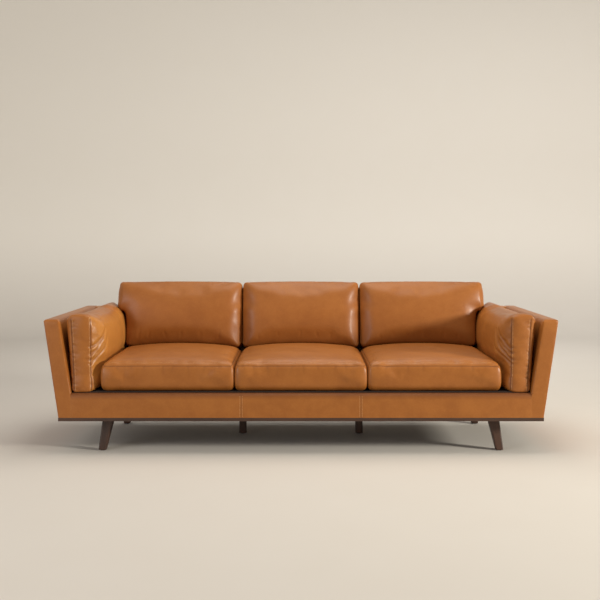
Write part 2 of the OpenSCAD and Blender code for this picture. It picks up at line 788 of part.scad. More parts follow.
outer_back = [for (h = back_levels)
    back_level(h, side_of(h, seat_pitch - seat_hw, -1), lobe_side(h), seat_pitch)];
back_size = [2 * seat_hw, back_foot_t, back_cushion_h];
module on_back() {
    translate([0, heel_y, heel_z]) rotate([-lean, 0, 0]) children();
}
function back_middle(x) = [x, -back_foot_t / 2, back_cushion_h / 2];

// The zip of a back cushion is low in its rear
module back_cushion(rings, x) {
    zip_hw = seat_hw - zip_margin;
    on_back() cushion_cover(rings, back_middle(x), back_size, true)
        block([x - zip_hw, -2 * loose_cover_t, zip_margin], [x + zip_hw, through, zip_margin + zip_w]);
}
module back_core(rings, x) {
    on_back() cushion_core(rings, back_middle(x), back_size, true);
}

// The right side cushion, which stands on edge between the arm and the seat
bolster_x1 = arm_in_deck - soft_gap;
bolster_x0 = seat_edge + rest_gap;
function bolster_out(h) = bolster_x1 + bolster_lean * h / bolster_h;
bolster_seam_x = bolster_out(bolster_h) - bolster_top_t;
bolster_front_round = 90;
// Heights over the seat cushion's side seam where the inner panel is fullest, where it has
// begun to turn in, and where it meets the seat cushion
panel_full_h = 58;
panel_turn_h = 25;
panel_meet_h = 6;
foot_bevel_h = 30;
// The crowned inner panel, down from its top seam by shares of its height
function bolster_panel() =
    let (full = bolster_seam_x - bolster_x0 + bolster_bulge, low = seat_h + panel_full_h) [
        for (f = [0.25, 0.5, 0.75, 1])
            [bolster_seam_x - full * pow(sin(90 * f), bolster_fullness), mix(bolster_h, low, f)],
        [bolster_x0 - bolster_bulge * 0.85, seat_h + panel_turn_h],
        [bolster_x0, seat_h + panel_meet_h],
        [bolster_x0, foot_bevel_h],
        [bolster_x0 + corner_cut / 2, corner_cut]];
// Over the top to the inner panel and down it, and back under the foot and up the outer side
function bolster_outline() = let (h = bolster_h, x1 = bolster_out(h)) concat(
    [[x1, h - 18], [x1 - corner_cut, h - 2]],
    [for (f = [0.75, 0.5, 0.25])
        [mix(bolster_seam_x, x1, f), h + bolster_rise * crown(2 * f - 1)]],
    [[bolster_seam_x, h]],
    bolster_panel(),
    [[bolster_x0 + 16, 0], [bolster_x1 - corner_cut, 0], [bolster_out(12), 12],
        [bolster_out(h / 2), h / 2]]);
function bolster_y(z, t) = mix(bolster_y0, back_in(z) - soft_gap, t);
function bolster_point(p, t) =
    let (
        y = bolster_y(cushion_z + p.y, t),
        fill = max(pow(sin(90 * min((y - bolster_y0) / bolster_front_round, 1)), 0.7), end_rise),
        x = p.x < bolster_seam_x ? mix(bolster_seam_x, p.x, fill) : p.x,
        lobe_z = foot_plane(y) + lobe_rise / cos(lean) - soft_gap,
        clear = max(p.x - lobe_x1 - soft_gap, 0),
        full_z = cushion_z + p.y - (p.y > bolster_h ? (p.y - bolster_h) * (1 - fill) : 0),
        z = min(full_z, lobe_z + clear))
    [x, bolster_y(z, t), z];
function bolster_rings() = [for (k = [0 : rings_n])
    [for (p = bolster_outline()) bolster_point(p, place(k))]];
bolster_length = back_in(deck_z) - bolster_y0;
bolster_middle = [(bolster_x0 + bolster_out(bolster_h)) / 2, bolster_y0 + bolster_length / 2,
    cushion_z + bolster_h / 2];
bolster_size = [bolster_t, bolster_length, bolster_h];
// The zip of a side cushion is in its underside
module side_cushion() {
    x = bolster_middle.x;
    cushion_cover(bolster_rings(), bolster_middle, bolster_size, true)
        block([x, bolster_y0 + zip_margin, cushion_z - through],
            [x + zip_w, bolster_y0 + bolster_length - zip_margin, cushion_z + 2 * loose_cover_t]);
}
module side_core() {
    cushion_core(bolster_rings(), bolster_middle, bolster_size, true);
}

plinth_front();
plinth_rear();
side(-1) plinth_side();  // plinth_left
side(1) plinth_side();  // plinth_right
plinth_bearers();
corner_leg(-1, -1);  // leg_front_left
corner_leg(1, -1);  // leg_front_right
corner_leg(-1, 1);  // leg_rear_left
corner_leg(1, 1);  // leg_rear_right
middle_leg(-1);  // leg_middle_left
middle_leg(1);  // leg_middle_right
leg_plates();
leg_bolts();
plate_screws();
leg_glides();
seat_rail_front();
seat_rail_rear();
side(-1) seat_rail_side();  // seat_rail_left
side(1) seat_rail_side();  // seat_rail_right
seat_stretchers();
corner_blocks();
side(-1) arm_posts();  // arm_posts_left
side(1) arm_posts();  // arm_posts_right
side(-1) arm_boards();  // arm_boards_left
side(1) arm_boards();  // arm_boards_right
back_posts();
back_top_rail();
back_middle_rail();
back_bottom_rail();
seat_springs();
spring_clips();
back_straps();
deck_pad();
deck_cloth();
dust_cover();
side(-1) arm_foam();  // arm_foam_left
side(1) arm_foam();  // arm_foam_right
rail_foam();
back_foam();
side(-1) arm_cover();  // arm_cover_left
side(1) arm_cover();  // arm_cover_right
front_rail_cover();
inside_back_cover();
outside_back_cover();
side(-1) seat_cushion(seat_pitch);  // seat_cushion_left
seat_cushion(0);  // seat_cushion_middle
seat_cushion(seat_pitch);  // seat_cushion_right
side(-1) seat_core(seat_pitch);  // seat_core_left
seat_core(0);  // seat_core_middle
seat_core(seat_pitch);  // seat_core_right
side(-1) back_cushion(outer_back, seat_pitch);  // back_cushion_left
back_cushion(middle_back, 0);  // back_cushion_middle
back_cushion(outer_back, seat_pitch);  // back_cushion_right
side(-1) back_core(outer_back, seat_pitch);  // back_core_left
back_core(middle_back, 0);  // back_core_middle
back_core(outer_back, seat_pitch);  // back_core_right
side(-1) side_cushion();  // side_cushion_left
side(1) side_cushion();  // side_cushion_right
side(-1) side_core();  // side_core_left
side(1) side_core();  // side_core_right
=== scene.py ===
"""A three-seat leather sofa on a wooden plinth: its covers, loose cushions and finishes."""

import functools
import json
import math
import random

import bmesh
import bpy
import numpy as np
from bpy.props import FloatProperty, FloatVectorProperty, IntProperty, PointerProperty
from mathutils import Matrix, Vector, noise
from mathutils.bvhtree import BVHTree
from mathutils.kdtree import KDTree


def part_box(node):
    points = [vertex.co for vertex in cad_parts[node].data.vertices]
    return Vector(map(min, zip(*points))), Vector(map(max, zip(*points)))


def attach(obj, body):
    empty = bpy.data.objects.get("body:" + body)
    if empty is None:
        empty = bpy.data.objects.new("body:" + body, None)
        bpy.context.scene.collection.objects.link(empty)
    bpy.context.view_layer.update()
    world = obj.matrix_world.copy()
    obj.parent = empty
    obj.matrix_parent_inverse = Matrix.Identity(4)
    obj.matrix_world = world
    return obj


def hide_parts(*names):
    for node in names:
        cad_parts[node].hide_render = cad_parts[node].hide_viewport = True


bl_info = {
    "name": "Leather sofa",
    "version": (1, 0, 0),
    "blender": (4, 5, 0),
    "location": "View3D > Sidebar > Sofa",
    "description": "Makes the covers, cushions and finishes of a leather sofa round its frame",
    "category": "Object",
}

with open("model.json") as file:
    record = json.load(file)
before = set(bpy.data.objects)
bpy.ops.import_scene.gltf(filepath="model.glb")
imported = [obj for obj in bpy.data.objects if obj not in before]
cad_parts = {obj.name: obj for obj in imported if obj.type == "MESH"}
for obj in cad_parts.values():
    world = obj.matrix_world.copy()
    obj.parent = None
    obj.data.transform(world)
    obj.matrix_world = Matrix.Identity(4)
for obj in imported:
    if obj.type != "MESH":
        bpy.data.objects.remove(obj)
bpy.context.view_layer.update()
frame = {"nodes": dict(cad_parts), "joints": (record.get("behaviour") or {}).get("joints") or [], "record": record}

MM = 0.001
SIDES = {"left": -1, "right": 1}
PLACES = {"left": -1, "middle": 0, "right": 1}
UP, FORWARD, LEFT, RIGHT = (0, 0, 1), (0, -1, 0), (-1, 0, 0), (1, 0, 0)

# Levels and outlines of the frame that the covers follow
ARM_LOW, ARM_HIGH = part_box("arm_cover_right")
BASE_Z, TOP_Z = ARM_LOW.z, ARM_HIGH.z
FRONT_Y, REAR_Y = ARM_LOW.y, ARM_HIGH.y
ARM_IN, ARM_OUT = ARM_LOW.x, ARM_HIGH.x
FOOT_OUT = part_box("plinth_right")[1].x
FOOT_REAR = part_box("plinth_rear")[1].y
DECK_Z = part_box("deck_cloth")[1].z
RAIL_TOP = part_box("front_rail_cover")[1].z
BACK_IN_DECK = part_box("inside_back_cover")[0].y
LIFT = next(Vector(j["axis"]) for j in frame["joints"] if j["name"] == "back_middle_lift")
BACK_SLOPE = LIFT.y / LIFT.z

# Sizes of the frame and the cushions' cores that no box of the frame gives
ARM_TOP = 72 * MM           # thickness of an arm at its top
BACK_THICK = 96 * MM        # thickness of the back
SEAT_FRONT_SEAM = 136 * MM  # height of a seat cushion's seam along its front
SEAT_SIDE_SEAM = 146 * MM   # and along its sides
HEEL_RISE = 137 * MM        # height of a back cushion's heel above the seats' underside
BACK_TALL = 352 * MM        # height of a back cushion along the lean
LOBE_FOOT = 203 * MM        # where its outer side steps out over the side cushion
LOBE_SIDE = 216 * MM        # and where that step ends
SIDE_TALL = 366 * MM        # height of a side cushion up to its top seams

# How a cushion is stuffed
COVER_OUT = 2.6 * MM        # how far its cover starts outside its core
HELD = 12 * MM              # how far from its seams a cover keeps its sewn shape
GIVE_GAP = 0.8 * MM         # space that it leaves to the pieces beside it
# Settings of the cloth simulation that pumps it up
CLOTH = {"quality": 4, "mass": 0.4, "tension_stiffness": 12, "compression_stiffness": 12,
         "shear_stiffness": 6, "bending_stiffness": 0.4, "use_pressure": True,
         "uniform_pressure_force": 4, "shrink_min": -0.02, "vertex_group_mass": "sewn",
         "pin_stiffness": 2}


# ---- Sizes and colours that a user would change ----

class SofaSizes(bpy.types.PropertyGroup):
    """Sizes of the upholstery that the frame doesn't give"""
    edge_radius: FloatProperty(
        name="Soft edge", description="Radius of the arms' and back's soft top edges",
        default=14 * MM, unit="LENGTH")
    front_radius: FloatProperty(
        name="Front edge", description="Radius of the soft edges of the arms' front faces",
        default=5 * MM, unit="LENGTH")
    rail_radius: FloatProperty(
        name="Rail edge", description="Radius of the front rail's soft top edge",
        default=18 * MM, unit="LENGTH")
    panel_crown: FloatProperty(
        name="Panel crown",
        description="How far the padding pushes out the middle of a fixed panel",
        default=1.6 * MM, unit="LENGTH")
    grid: FloatProperty(
        name="Panel grid", description="Distance between the cuts across a fixed panel",
        default=14 * MM, unit="LENGTH")
    rail_seam: FloatProperty(
        name="Front seams", description="Distance of the front panels' seams from the middle",
        default=298 * MM, unit="LENGTH")
    voxel: FloatProperty(
        name="Cushion mesh", description="Size of the cells of a cushion before it is sewn",
        default=8 * MM, unit="LENGTH")
    stitch: FloatProperty(
        name="Stitch", description="Length of a stitch with its gap",
        default=7 * MM, unit="LENGTH")
    thread: FloatProperty(
        name="Thread", description="Radius of the sewing thread",
        default=0.8 * MM, unit="LENGTH")
    steps: IntProperty(
        name="Stuffing steps", description="Frames for which a cushion is pumped up",
        default=20, min=5, max=40)


class SofaColours(bpy.types.PropertyGroup):
    """Colours of the finishes"""
    leather: FloatVectorProperty(
        name="Leather", description="Middle tone of the leather",
        subtype="COLOR", default=(0.395, 0.135, 0.025), min=0, max=1)
    leather_dark: FloatVectorProperty(
        name="Leather, deep", description="Deep tone of the leather",
        subtype="COLOR", default=(0.235, 0.066, 0.010), min=0, max=1)
    # Also painted on the side cushions' inner panels as light, more on the left one
    leather_light: FloatVectorProperty(
        name="Leather, stretched",
        description="Tone of the leather where it is stretched or rubbed",
        subtype="COLOR", default=(0.60, 0.27, 0.062), min=0, max=1)
    thread: FloatVectorProperty(
        name="Thread", description="Colour of the sewing thread",
        subtype="COLOR", default=(0.74, 0.46, 0.23), min=0, max=1)
    walnut: FloatVectorProperty(
        name="Walnut", description="Middle tone of the dark wood",
        subtype="COLOR", default=(0.052, 0.020, 0.009), min=0, max=1)
    floor: FloatVectorProperty(
        name="Floor", description="Colour of the floor",
        subtype="COLOR", default=(0.71, 0.655, 0.59), min=0, max=1)
    wall: FloatVectorProperty(
        name="Wall", description="Colour of the backdrop behind the sofa",
        subtype="COLOR", default=(0.86, 0.80, 0.72), min=0, max=1)


def sizes():
    return bpy.context.scene.sofa_sizes


def colours():
    return bpy.context.scene.sofa_colours


# ---- Shader maths ----

class Wire:
    """An output socket that takes part in sums, each of which adds a Math node"""

    def __init__(self, shader, socket):
        self.shader = shader
        self.socket = socket

    def __add__(self, other):
        return self.shader.math("ADD", self, other)

    def __sub__(self, other):
        return self.shader.math("SUBTRACT", self, other)

    def __rsub__(self, other):
        return self.shader.math("SUBTRACT", other, self)

    def __mul__(self, other):
        return self.shader.math("MULTIPLY", self, other)

    __radd__ = __add__


class Shader:
    """A material that is written as Python expressions"""

    def __init__(self, name):
        self.material = bpy.data.materials.new(name)
        self.material.use_nodes = True
        self.tree = self.material.node_tree
        self.tree.nodes.clear()

    def node(self, kind, settings=None, sockets=None, output=0):
        made = self.tree.nodes.new("ShaderNode" + kind)
        for name, value in (settings or {}).items():
            setattr(made, name, value)
        for name, value in (sockets or {}).items():
            if isinstance(value, Wire):
                self.tree.links.new(value.socket, made.inputs[name])
            else:
                made.inputs[name].default_value = value
        return Wire(self, made.outputs[output]) if len(made.outputs) else None

    def math(self, operation, first, second=0.0):
        return self.node("Math", {"operation": operation}, {0: first, 1: second})

    def step(self, value, low, high):
        """0 below low and 1 above high, with a smooth change between them"""
        return self.node("MapRange", {"interpolation_type": "SMOOTHSTEP"},
                         {"Value": value, "From Min": low, "From Max": high})

    def mix(self, factor, first, second):
        return self.node("Mix", {"data_type": "RGBA"}, {0: factor, 6: first, 7: second}, output=2)

    def place(self, scale=(1, 1, 1)):
        """Where a point lies on the piece, stretched along each axis"""
        point = self.node("TexCoord", output="Object")
        return self.node("Mapping", sockets={"Vector": point, "Scale": scale})

    def split(self, where):
        """The three parts of a place, as separate values"""
        return [self.node("SeparateXYZ", sockets={"Vector": where}, output=axis)
                for axis in range(3)]

    def noise(self, where, scale, detail=2.0, rough=0.5, twist=0.0):
        return self.node("TexNoise", sockets={
            "Vector": where, "Scale": scale, "Detail": detail, "Roughness": rough,
            "Distortion": twist})

    def marked(self, name):
        """A value that a piece keeps at each of its points, or 0 where it keeps none"""
        return self.node("Attribute", {"attribute_name": name}, output="Fac")

    def bump(self, height, distance, strength=1.0, under=None):
        sockets = {"Height": height, "Distance": distance, "Strength": strength}
        if under is not None:
            sockets["Normal"] = under
        return self.node("Bump", sockets=sockets)

    def finish(self, **sockets):
        """Ends the material in a Principled shader with these sockets"""
        named = {name.replace("_", " "): value for name, value in sockets.items()}
        shaded = self.node("BsdfPrincipled", sockets=named)
        self.node("OutputMaterial", sockets={"Surface": shaded})
        return self.material


def opaque(colour):
    return (*colour, 1.0)


@functools.cache
def finish_of(name, make, *details):
    """The material of that name, made once"""
    return make(name, *details)


def leather(name):
    s, c = Shader(name), colours()
    where = s.place()
    blotch = s.noise(where, 4.5, 4, 0.6, 0.4)
    cloud = s.noise(where, 19, 4, 0.6)
    fleck = s.noise(where, 120, 3, 0.65)
    crease = s.marked("crease")
    tone = s.step(blotch * 0.6 + cloud * 0.4, 0.32, 0.68)
    colour = s.mix(tone * 0.42 + 0.58, opaque(c.leather_dark), opaque(c.leather))
    colour = s.mix(s.step(fleck, 0.45, 0.8) * 0.12, colour, opaque(c.leather_light))
    # Paler, glossier leather where it is worn; on the side cushions' inner panels the same mark also holds painted
    # light
    rubbed = s.step(s.marked("wear") + (cloud - 0.5) * 0.35, 0.12, 0.85)
    colour = s.mix(rubbed * 0.45, colour, opaque(c.leather_light))
    # Painted shade: where a piece is marked with it (in seams, folds, along the rail's top and low on the back
    # cushions), the leather is painted a near-black brown and made duller
    colour = s.mix(crease * 0.7, colour, (0.070, 0.016, 0.003, 1.0))
    pores = s.node("TexVoronoi", {"feature": "F1"}, {"Vector": where, "Scale": 620.0})
    wrinkle = s.noise(where, 210, 4, 0.7, 0.8)
    grain = s.bump(pores * 0.5 + wrinkle, 0.3 * MM, 0.5)
    soft = s.bump(s.noise(where, 34, 3, 0.6), 1.4 * MM, 0.28, grain)
    return s.finish(
        Base_Color=colour, Roughness=0.43 - rubbed * 0.1 + (cloud - 0.5) * 0.2 + crease * 0.2,
        Normal=soft, Specular_IOR_Level=0.32, Coat_Weight=0.1, Coat_Roughness=0.26)


def thread_finish(name):
    s, c = Shader(name), colours()
    where = s.place()
    colour = s.mix(s.noise(where, 260, 2), opaque(c.thread), opaque(c.leather_light))
    return s.finish(Base_Color=colour, Roughness=0.7,
                    Normal=s.bump(s.noise(where, 2600, 1), 0.1 * MM))


# The seam cords' dark colour is painted shade, standing for the shade in a seam's groove
def seam_shade_finish(name):
    s = Shader(name)
    shade = s.noise(s.place(), 90, 2)
    colour = s.mix(shade, (0.060, 0.016, 0.004, 1), (0.13, 0.038, 0.009, 1))
    return s.finish(Base_Color=colour, Roughness=0.75, Normal=s.bump(shade, 0.2 * MM))


def wood(name, along, light, dark, gloss, coat):
    """Wood whose grain runs along axis 0, 1 or 2"""
    s = Shader(name)
    stretch = [1.0, 1.0, 1.0]
    stretch[along] = 0.07
    where = s.place(stretch)
    rings = s.noise(where, 26, 5, 0.62, 1.4)
    pores = s.noise(where, 420, 3, 0.7)
    slow = s.noise(s.place(), 6, 3)
    colour = s.mix(s.step(rings, 0.34, 0.66), dark, light)
    deep = opaque([value * 0.45 for value in dark[:3]])
    colour = s.mix(s.step(pores, 0.52, 0.78) * 0.55, colour, deep)
    colour = s.mix(slow * 0.35, colour, dark)
    rubbed = s.step(s.marked("wear"), 0.25, 0.9)
    colour = s.mix(rubbed * 0.35, colour, light)
    return s.finish(Base_Color=colour, Roughness=gloss + pores * 0.2,
                    Normal=s.bump(rings * 0.4 + pores, 0.25 * MM, 0.5),
                    Coat_Weight=coat, Coat_Roughness=0.3)


def walnut(name, along):
    tone = colours().walnut
    light, dark = (opaque([v * share for v in tone]) for share in (1.45, 0.6))
    return wood(name, along, light, dark, 0.40, 0.12)


def timber(name, along):
    return wood(name, along, (0.62, 0.44, 0.25, 1), (0.42, 0.27, 0.13, 1), 0.62, 0.0)


def foam(name):
    s = Shader(name)
    where = s.place()
    cells = s.node("TexVoronoi", {"feature": "F1"}, {"Vector": where, "Scale": 700.0})
    colour = s.mix(s.noise(where, 20, 3), (0.80, 0.72, 0.48, 1), (0.88, 0.82, 0.62, 1))
    return s.finish(Base_Color=colour, Roughness=0.95, Normal=s.bump(cells, 0.6 * MM, 0.8))


def steel(name):
    s = Shader(name)
    where = s.place((1, 1, 12))
    scuffs = s.noise(where, 90, 4, 0.6)
    colour = s.mix(scuffs, (0.42, 0.43, 0.45, 1), (0.62, 0.62, 0.63, 1))
    return s.finish(Base_Color=colour, Metallic=1.0, Roughness=0.28 + scuffs * 0.22,
                    Normal=s.bump(scuffs, 0.1 * MM, 0.4))


def nylon(name):
    s = Shader(name)
    dust = s.noise(s.place(), 240, 3)
    colour = s.mix(dust, (0.012, 0.012, 0.013, 1), (0.035, 0.034, 0.033, 1))
    return s.finish(Base_Color=colour, Roughness=0.45 + dust * 0.2,
                    Normal=s.bump(dust, 0.15 * MM, 0.5))


def dark_cloth(name):
    """Open woven cloth: two crossed sets of threads"""
    s = Shader(name)
    x, y, _ = s.split(s.node("TexCoord", output="Object"))
    pitch = 2 * math.pi / (1.4 * MM)
    warp = s.math("SINE", x * pitch)
    weft = s.math("SINE", y * pitch)
    weave = warp * weft * 0.5 + 0.5
    colour = s.mix(weave, (0.014, 0.006, 0.003, 1), (0.034, 0.015, 0.008, 1))
    return s.finish(Base_Color=colour, Roughness=0.9, Normal=s.bump(weave, 0.3 * MM, 0.7))


# Wooden nodes whose grain runs upward, and from front to rear; in the others it runs across
UPRIGHT = ("leg_", "corner_blocks", "arm_posts", "back_posts")
LENGTHWISE = ("plinth_left", "plinth_right", "plinth_bearers", "seat_rail_left",
              "seat_rail_right", "seat_stretchers", "arm_boards")


def finish_for(slot, node):
    """The finish of a CAD node, from its slot in the record and the way its grain runs"""
    along = 2 if node.startswith(UPRIGHT) else 1 if node.startswith(LENGTHWISE) else 0
    if slot == "walnut":
        return finish_of("walnut_" + "xyz"[along], walnut, along)
    if slot == "frame_timber":
        return finish_of("timber_" + "xyz"[along], timber, along)
    make = {"tan_leather": leather, "foam": foam, "steel": steel,
            "glide_plastic": nylon, "dark_cloth": dark_cloth}[slot]
    return finish_of(slot, make)


# ---- Handling meshes ----

def add(name, data):
    """A new object in the scene for that mesh, curve, lamp or camera"""
    made = bpy.data.objects.new(name, data)
    bpy.context.scene.collection.objects.link(made)
    return made


def dress(piece, material):
    """Leaves a piece with one material"""
    piece.data.materials.clear()
    piece.data.materials.append(material)


def only(piece):
    """Leaves one object selected and active"""
    if bpy.context.object and bpy.context.object.mode != "OBJECT":
        close_edit()
    bpy.ops.object.select_all(action="DESELECT")
    piece.select_set(True)
    bpy.context.view_layer.objects.active = piece


def pick(test, kind="verts"):
    """In edit mode, selects the vertices, edges or faces that pass a test"""
    mesh = bpy.context.edit_object.data
    form = bmesh.from_edit_mesh(mesh)
    form.select_mode = {kind[:-1].upper()}
    for item in (*form.faces, *form.edges, *form.verts):
        item.select = False
    for item in getattr(form, kind):
        if test(item):
            item.select_set(True)
    form.select_flush_mode()
    bmesh.update_edit_mesh(mesh)


def shift(test, by):
    """Moves the vertices that pass a test"""
    pick(lambda v: test(v.co))
    bpy.ops.transform.translate(value=by)


def edit():
    """Opens the active piece for editing, with all of it selected"""
    bpy.ops.object.mode_set(mode="EDIT")
    bpy.ops.mesh.select_all(action="SELECT")


def close_edit():
    """Ends the editing of the active piece"""
    bpy.ops.object.mode_set(mode="OBJECT")


def block(name, low, high):
    """Starts a piece as a block from one corner to another, in edit mode"""
    bpy.ops.object.select_all(action="DESELECT")
    bpy.ops.mesh.primitive_cube_add(size=1)
    piece = bpy.context.object
    piece.name = piece.data.name = name
    edit()
    bpy.ops.transform.resize(value=[b - a for a, b in zip(low, high)])
    bpy.ops.transform.translate(value=[(a + b) / 2 for a, b in zip(low, high)])
    return piece


def cut_across(axis, places):
    """Cuts the whole piece by planes square to an axis"""
    normal = [0, 0, 0]
    normal[axis] = 1
    for place in places:
        at = [0, 0, 0]
        at[axis] = place
        bpy.ops.mesh.select_all(action="SELECT")
        bpy.ops.mesh.bisect(plane_co=at, plane_no=normal)


def even_cuts(low, high, pitch):
    count = max(2, round((high - low) / pitch))
    return [low + (high - low) * i / count for i in range(1, count)]


def round_edges(test, radius, segments=4):
    pick(test, "edges")
    bpy.ops.mesh.bevel(offset=radius, segments=segments, profile=0.5, affect="EDGES")


def points_of(piece):
    """Places and normals of a piece's vertices, as arrays"""
    mesh = piece.data
    count = len(mesh.vertices)
    places = np.empty(count * 3)
    normals = np.empty(count * 3)
    mesh.vertices.foreach_get("co", places)
    mesh.vertices.foreach_get("normal", normals)
    return places.reshape(-1, 3), normals.reshape(-1, 3)


def set_points(piece, places):
    piece.data.vertices.foreach_set("co", places.ravel())
    piece.data.update()


def within(values):
    """The values, held between 0 and 1"""
    return np.clip(values, 0, 1)


def waves(places, size, seed):
    """Smooth noise from -1 to 1 at each place, with waves of about that size"""
    shift_by = Vector((seed * 7.31, seed * 3.17, seed * 5.77))
    return np.array([noise.noise(Vector(p) / size + shift_by) for p in places])


def mark(piece, name, values):
    layer = piece.data.attributes.get(name) or piece.data.attributes.new(name, "FLOAT", "POINT")
    layer.data.foreach_set("value", within(values).astype(np.float32))


def stand_out(piece):
    """How far each point stands out from the leather round it, evened out a little"""
    places, normals = points_of(piece)
    edges = np.empty(len(piece.data.edges) * 2, dtype=np.int64)
    piece.data.edges.foreach_get("vertices", edges)
    a, b = edges.reshape(-1, 2).T
    count = np.bincount(a, minlength=len(places)) + np.bincount(b, minlength=len(places))

    def around(values):
        total = np.zeros_like(values)
        np.add.at(total, a, values[b])
        np.add.at(total, b, values[a])
        return total / (count[:, None] if values.ndim > 1 else count)

    mean_reach = np.linalg.norm(places[a] - places[b], axis=1).mean()
    out = -np.einsum("ij,ij->i", around(places) - places, normals) / mean_reach
    for _ in range(3):
        out = 0.5 * out + 0.5 * around(out)
    return out


def mark_wear(piece, gain):
    """Marks where the leather is rubbed and stretched, which is where it stands out"""
    mark(piece, "wear", stand_out(piece) * gain)


class Seam:
    """A seam or a row of stitches: a line of close points with a place along it"""
    pitch = 3 * MM

    def __init__(self, points):
        points = [np.array(p, dtype=float) for p in points]
        line = [points[0]]
        for p, q in zip(points, points[1:]):
            count = max(1, int(np.ceil(np.linalg.norm(q - p) / self.pitch)))
            line += [p + (q - p) * (i + 1) / count for i in range(count)]
        self.points = np.array(line)
        steps = np.linalg.norm(np.diff(self.points, axis=0), axis=1)
        self.along = np.concatenate([[0], np.cumsum(steps)])
        self.tree = KDTree(len(line))
        for i, p in enumerate(line):
            self.tree.insert(p, i)
        self.tree.balance()

    def away(self, places):
        """Distance of each place from the seam"""
        return np.array([self.tree.find(place)[2] for place in places])

    def on(self, piece):
        """The same seam laid on a piece's surface"""
        tree = BVHTree.FromObject(piece, bpy.context.evaluated_depsgraph_get())
        return Seam([tree.find_nearest(Vector(p))[0] for p in self.points])


def darken(piece, crease):
    """Marks painted shade on a piece, on top of the shade painted on it before"""
    old = piece.data.attributes.get("crease")
    if old:
        kept = np.empty(len(crease), dtype=np.float32)
        old.data.foreach_get("value", kept)
        crease = np.maximum(crease, kept)
    mark(piece, "crease", crease)


def sew(piece, seams, depth, width, shade=0.8):
    """Pulls a piece in along its seams, and paints shade into their grooves"""
    places, normals = points_of(piece)
    moved, crease = np.zeros((2, len(places)))
    for seam in seams:
        away = seam.away(places)
        moved -= depth * np.exp(-(away / width) ** 2)
        # Painted shade along the seam's groove
        crease = np.maximum(crease, shade * np.exp(-(away / (0.5 * width)) ** 2))
    set_points(piece, places + normals * moved[:, None])
    darken(piece, crease)


def folds_from(seam, into, gap, length, seed, low=0.0, high=1.0):
    """Folds that start on a stretch of a seam and run into a panel, as first and last points"""
    dice = random.Random(seed)
    folds = []
    at = (low + dice.random() * gap / seam.along[-1]) * seam.along[-1]
    while at < high * seam.along[-1]:
        start = seam.points[min(int(np.searchsorted(seam.along, at)), len(seam.points) - 1)]
        run = np.array(into(dice.uniform(-1, 1))) * length * dice.uniform(0.45, 1.0)
        folds.append((start, start + run))
        at += gap * dice.uniform(0.6, 1.5)
    return folds


def fold(piece, folds, depth, width, seed, facing=(0, 0, 0)):
    """Presses folds into a piece: a valley between two soft ridges, which fades along its run, with shade painted
    into the valley.

    With a facing direction, the folds follow the bulge of the panel that faces that way."""
    facing = np.array(facing, dtype=float)
    places, normals = points_of(piece)
    faces = within(normals @ facing * 2) if facing.any() else np.ones(len(places))
    bent = places + np.stack([waves(places, 45 * MM, seed + i) for i in range(3)], 1) * 5 * MM
    moved, crease = np.zeros((2, len(places)))
    bent -= np.outer(bent @ facing, facing)
    for start, end in folds:
        start, end = start - start @ facing * facing, end - end @ facing * facing
        run = end - start
        share = within((bent - start) @ run / (run @ run))
        away = np.linalg.norm(bent - start - share[:, None] * run, axis=1) / width
        lead_in = within((bent - start) @ run / (run @ run) * 8 + 1)
        fade = faces * np.sqrt(1 - share) * lead_in
        moved -= depth * fade * (1 - 0.55 * away ** 2) * np.exp(-0.5 * away ** 2)
        # Painted shade in each fold's valley
        crease = np.maximum(crease, 0.35 * fade * np.exp(-(away / 0.7) ** 2))
    set_points(piece, places + normals * moved[:, None])
    darken(piece, crease)


def give_way(piece, *others):
    """Presses a cushion in where it would run into the finished pieces beside it"""
    places, _ = points_of(piece)
    for other in others:
        beside, _ = points_of(bpy.data.objects[other])
        tree = BVHTree.FromObject(bpy.data.objects[other], bpy.context.evaluated_depsgraph_get())
        close = (places > beside.min(0) - GIVE_GAP) & (places < beside.max(0) + GIVE_GAP)
        for i in np.flatnonzero(close.all(1)):
            at, normal, _, _ = tree.find_nearest(Vector(places[i]), 20 * MM)
            if at is not None and (Vector(places[i]) - at).dot(normal) < GIVE_GAP:
                places[i] = at + normal * GIVE_GAP
    set_points(piece, places)


def path_curve(name, seam):
    curve = bpy.data.curves.new(name, "CURVE")
    curve.dimensions = "3D"
    spline = curve.splines.new("POLY")
    spline.points.add(len(seam.points) - 1)
    for point, place in zip(spline.points, seam.points):
        point.co = (*place, 1.0)
    return add(name, curve)


def seam_shade_line(name, seam):
    """Painted shade where two panels meet: a thin dark cord in the seam, in place of the shade in its groove"""
    path = path_curve(name, seam)
    path.data.bevel_depth = 0.5 * MM
    path.data.bevel_resolution = 1
    path.data.use_fill_caps = True
    only(path)
    bpy.ops.object.convert(target="MESH")
    piece = bpy.context.object
    dress(piece, finish_of("seam", seam_shade_finish))
    return piece


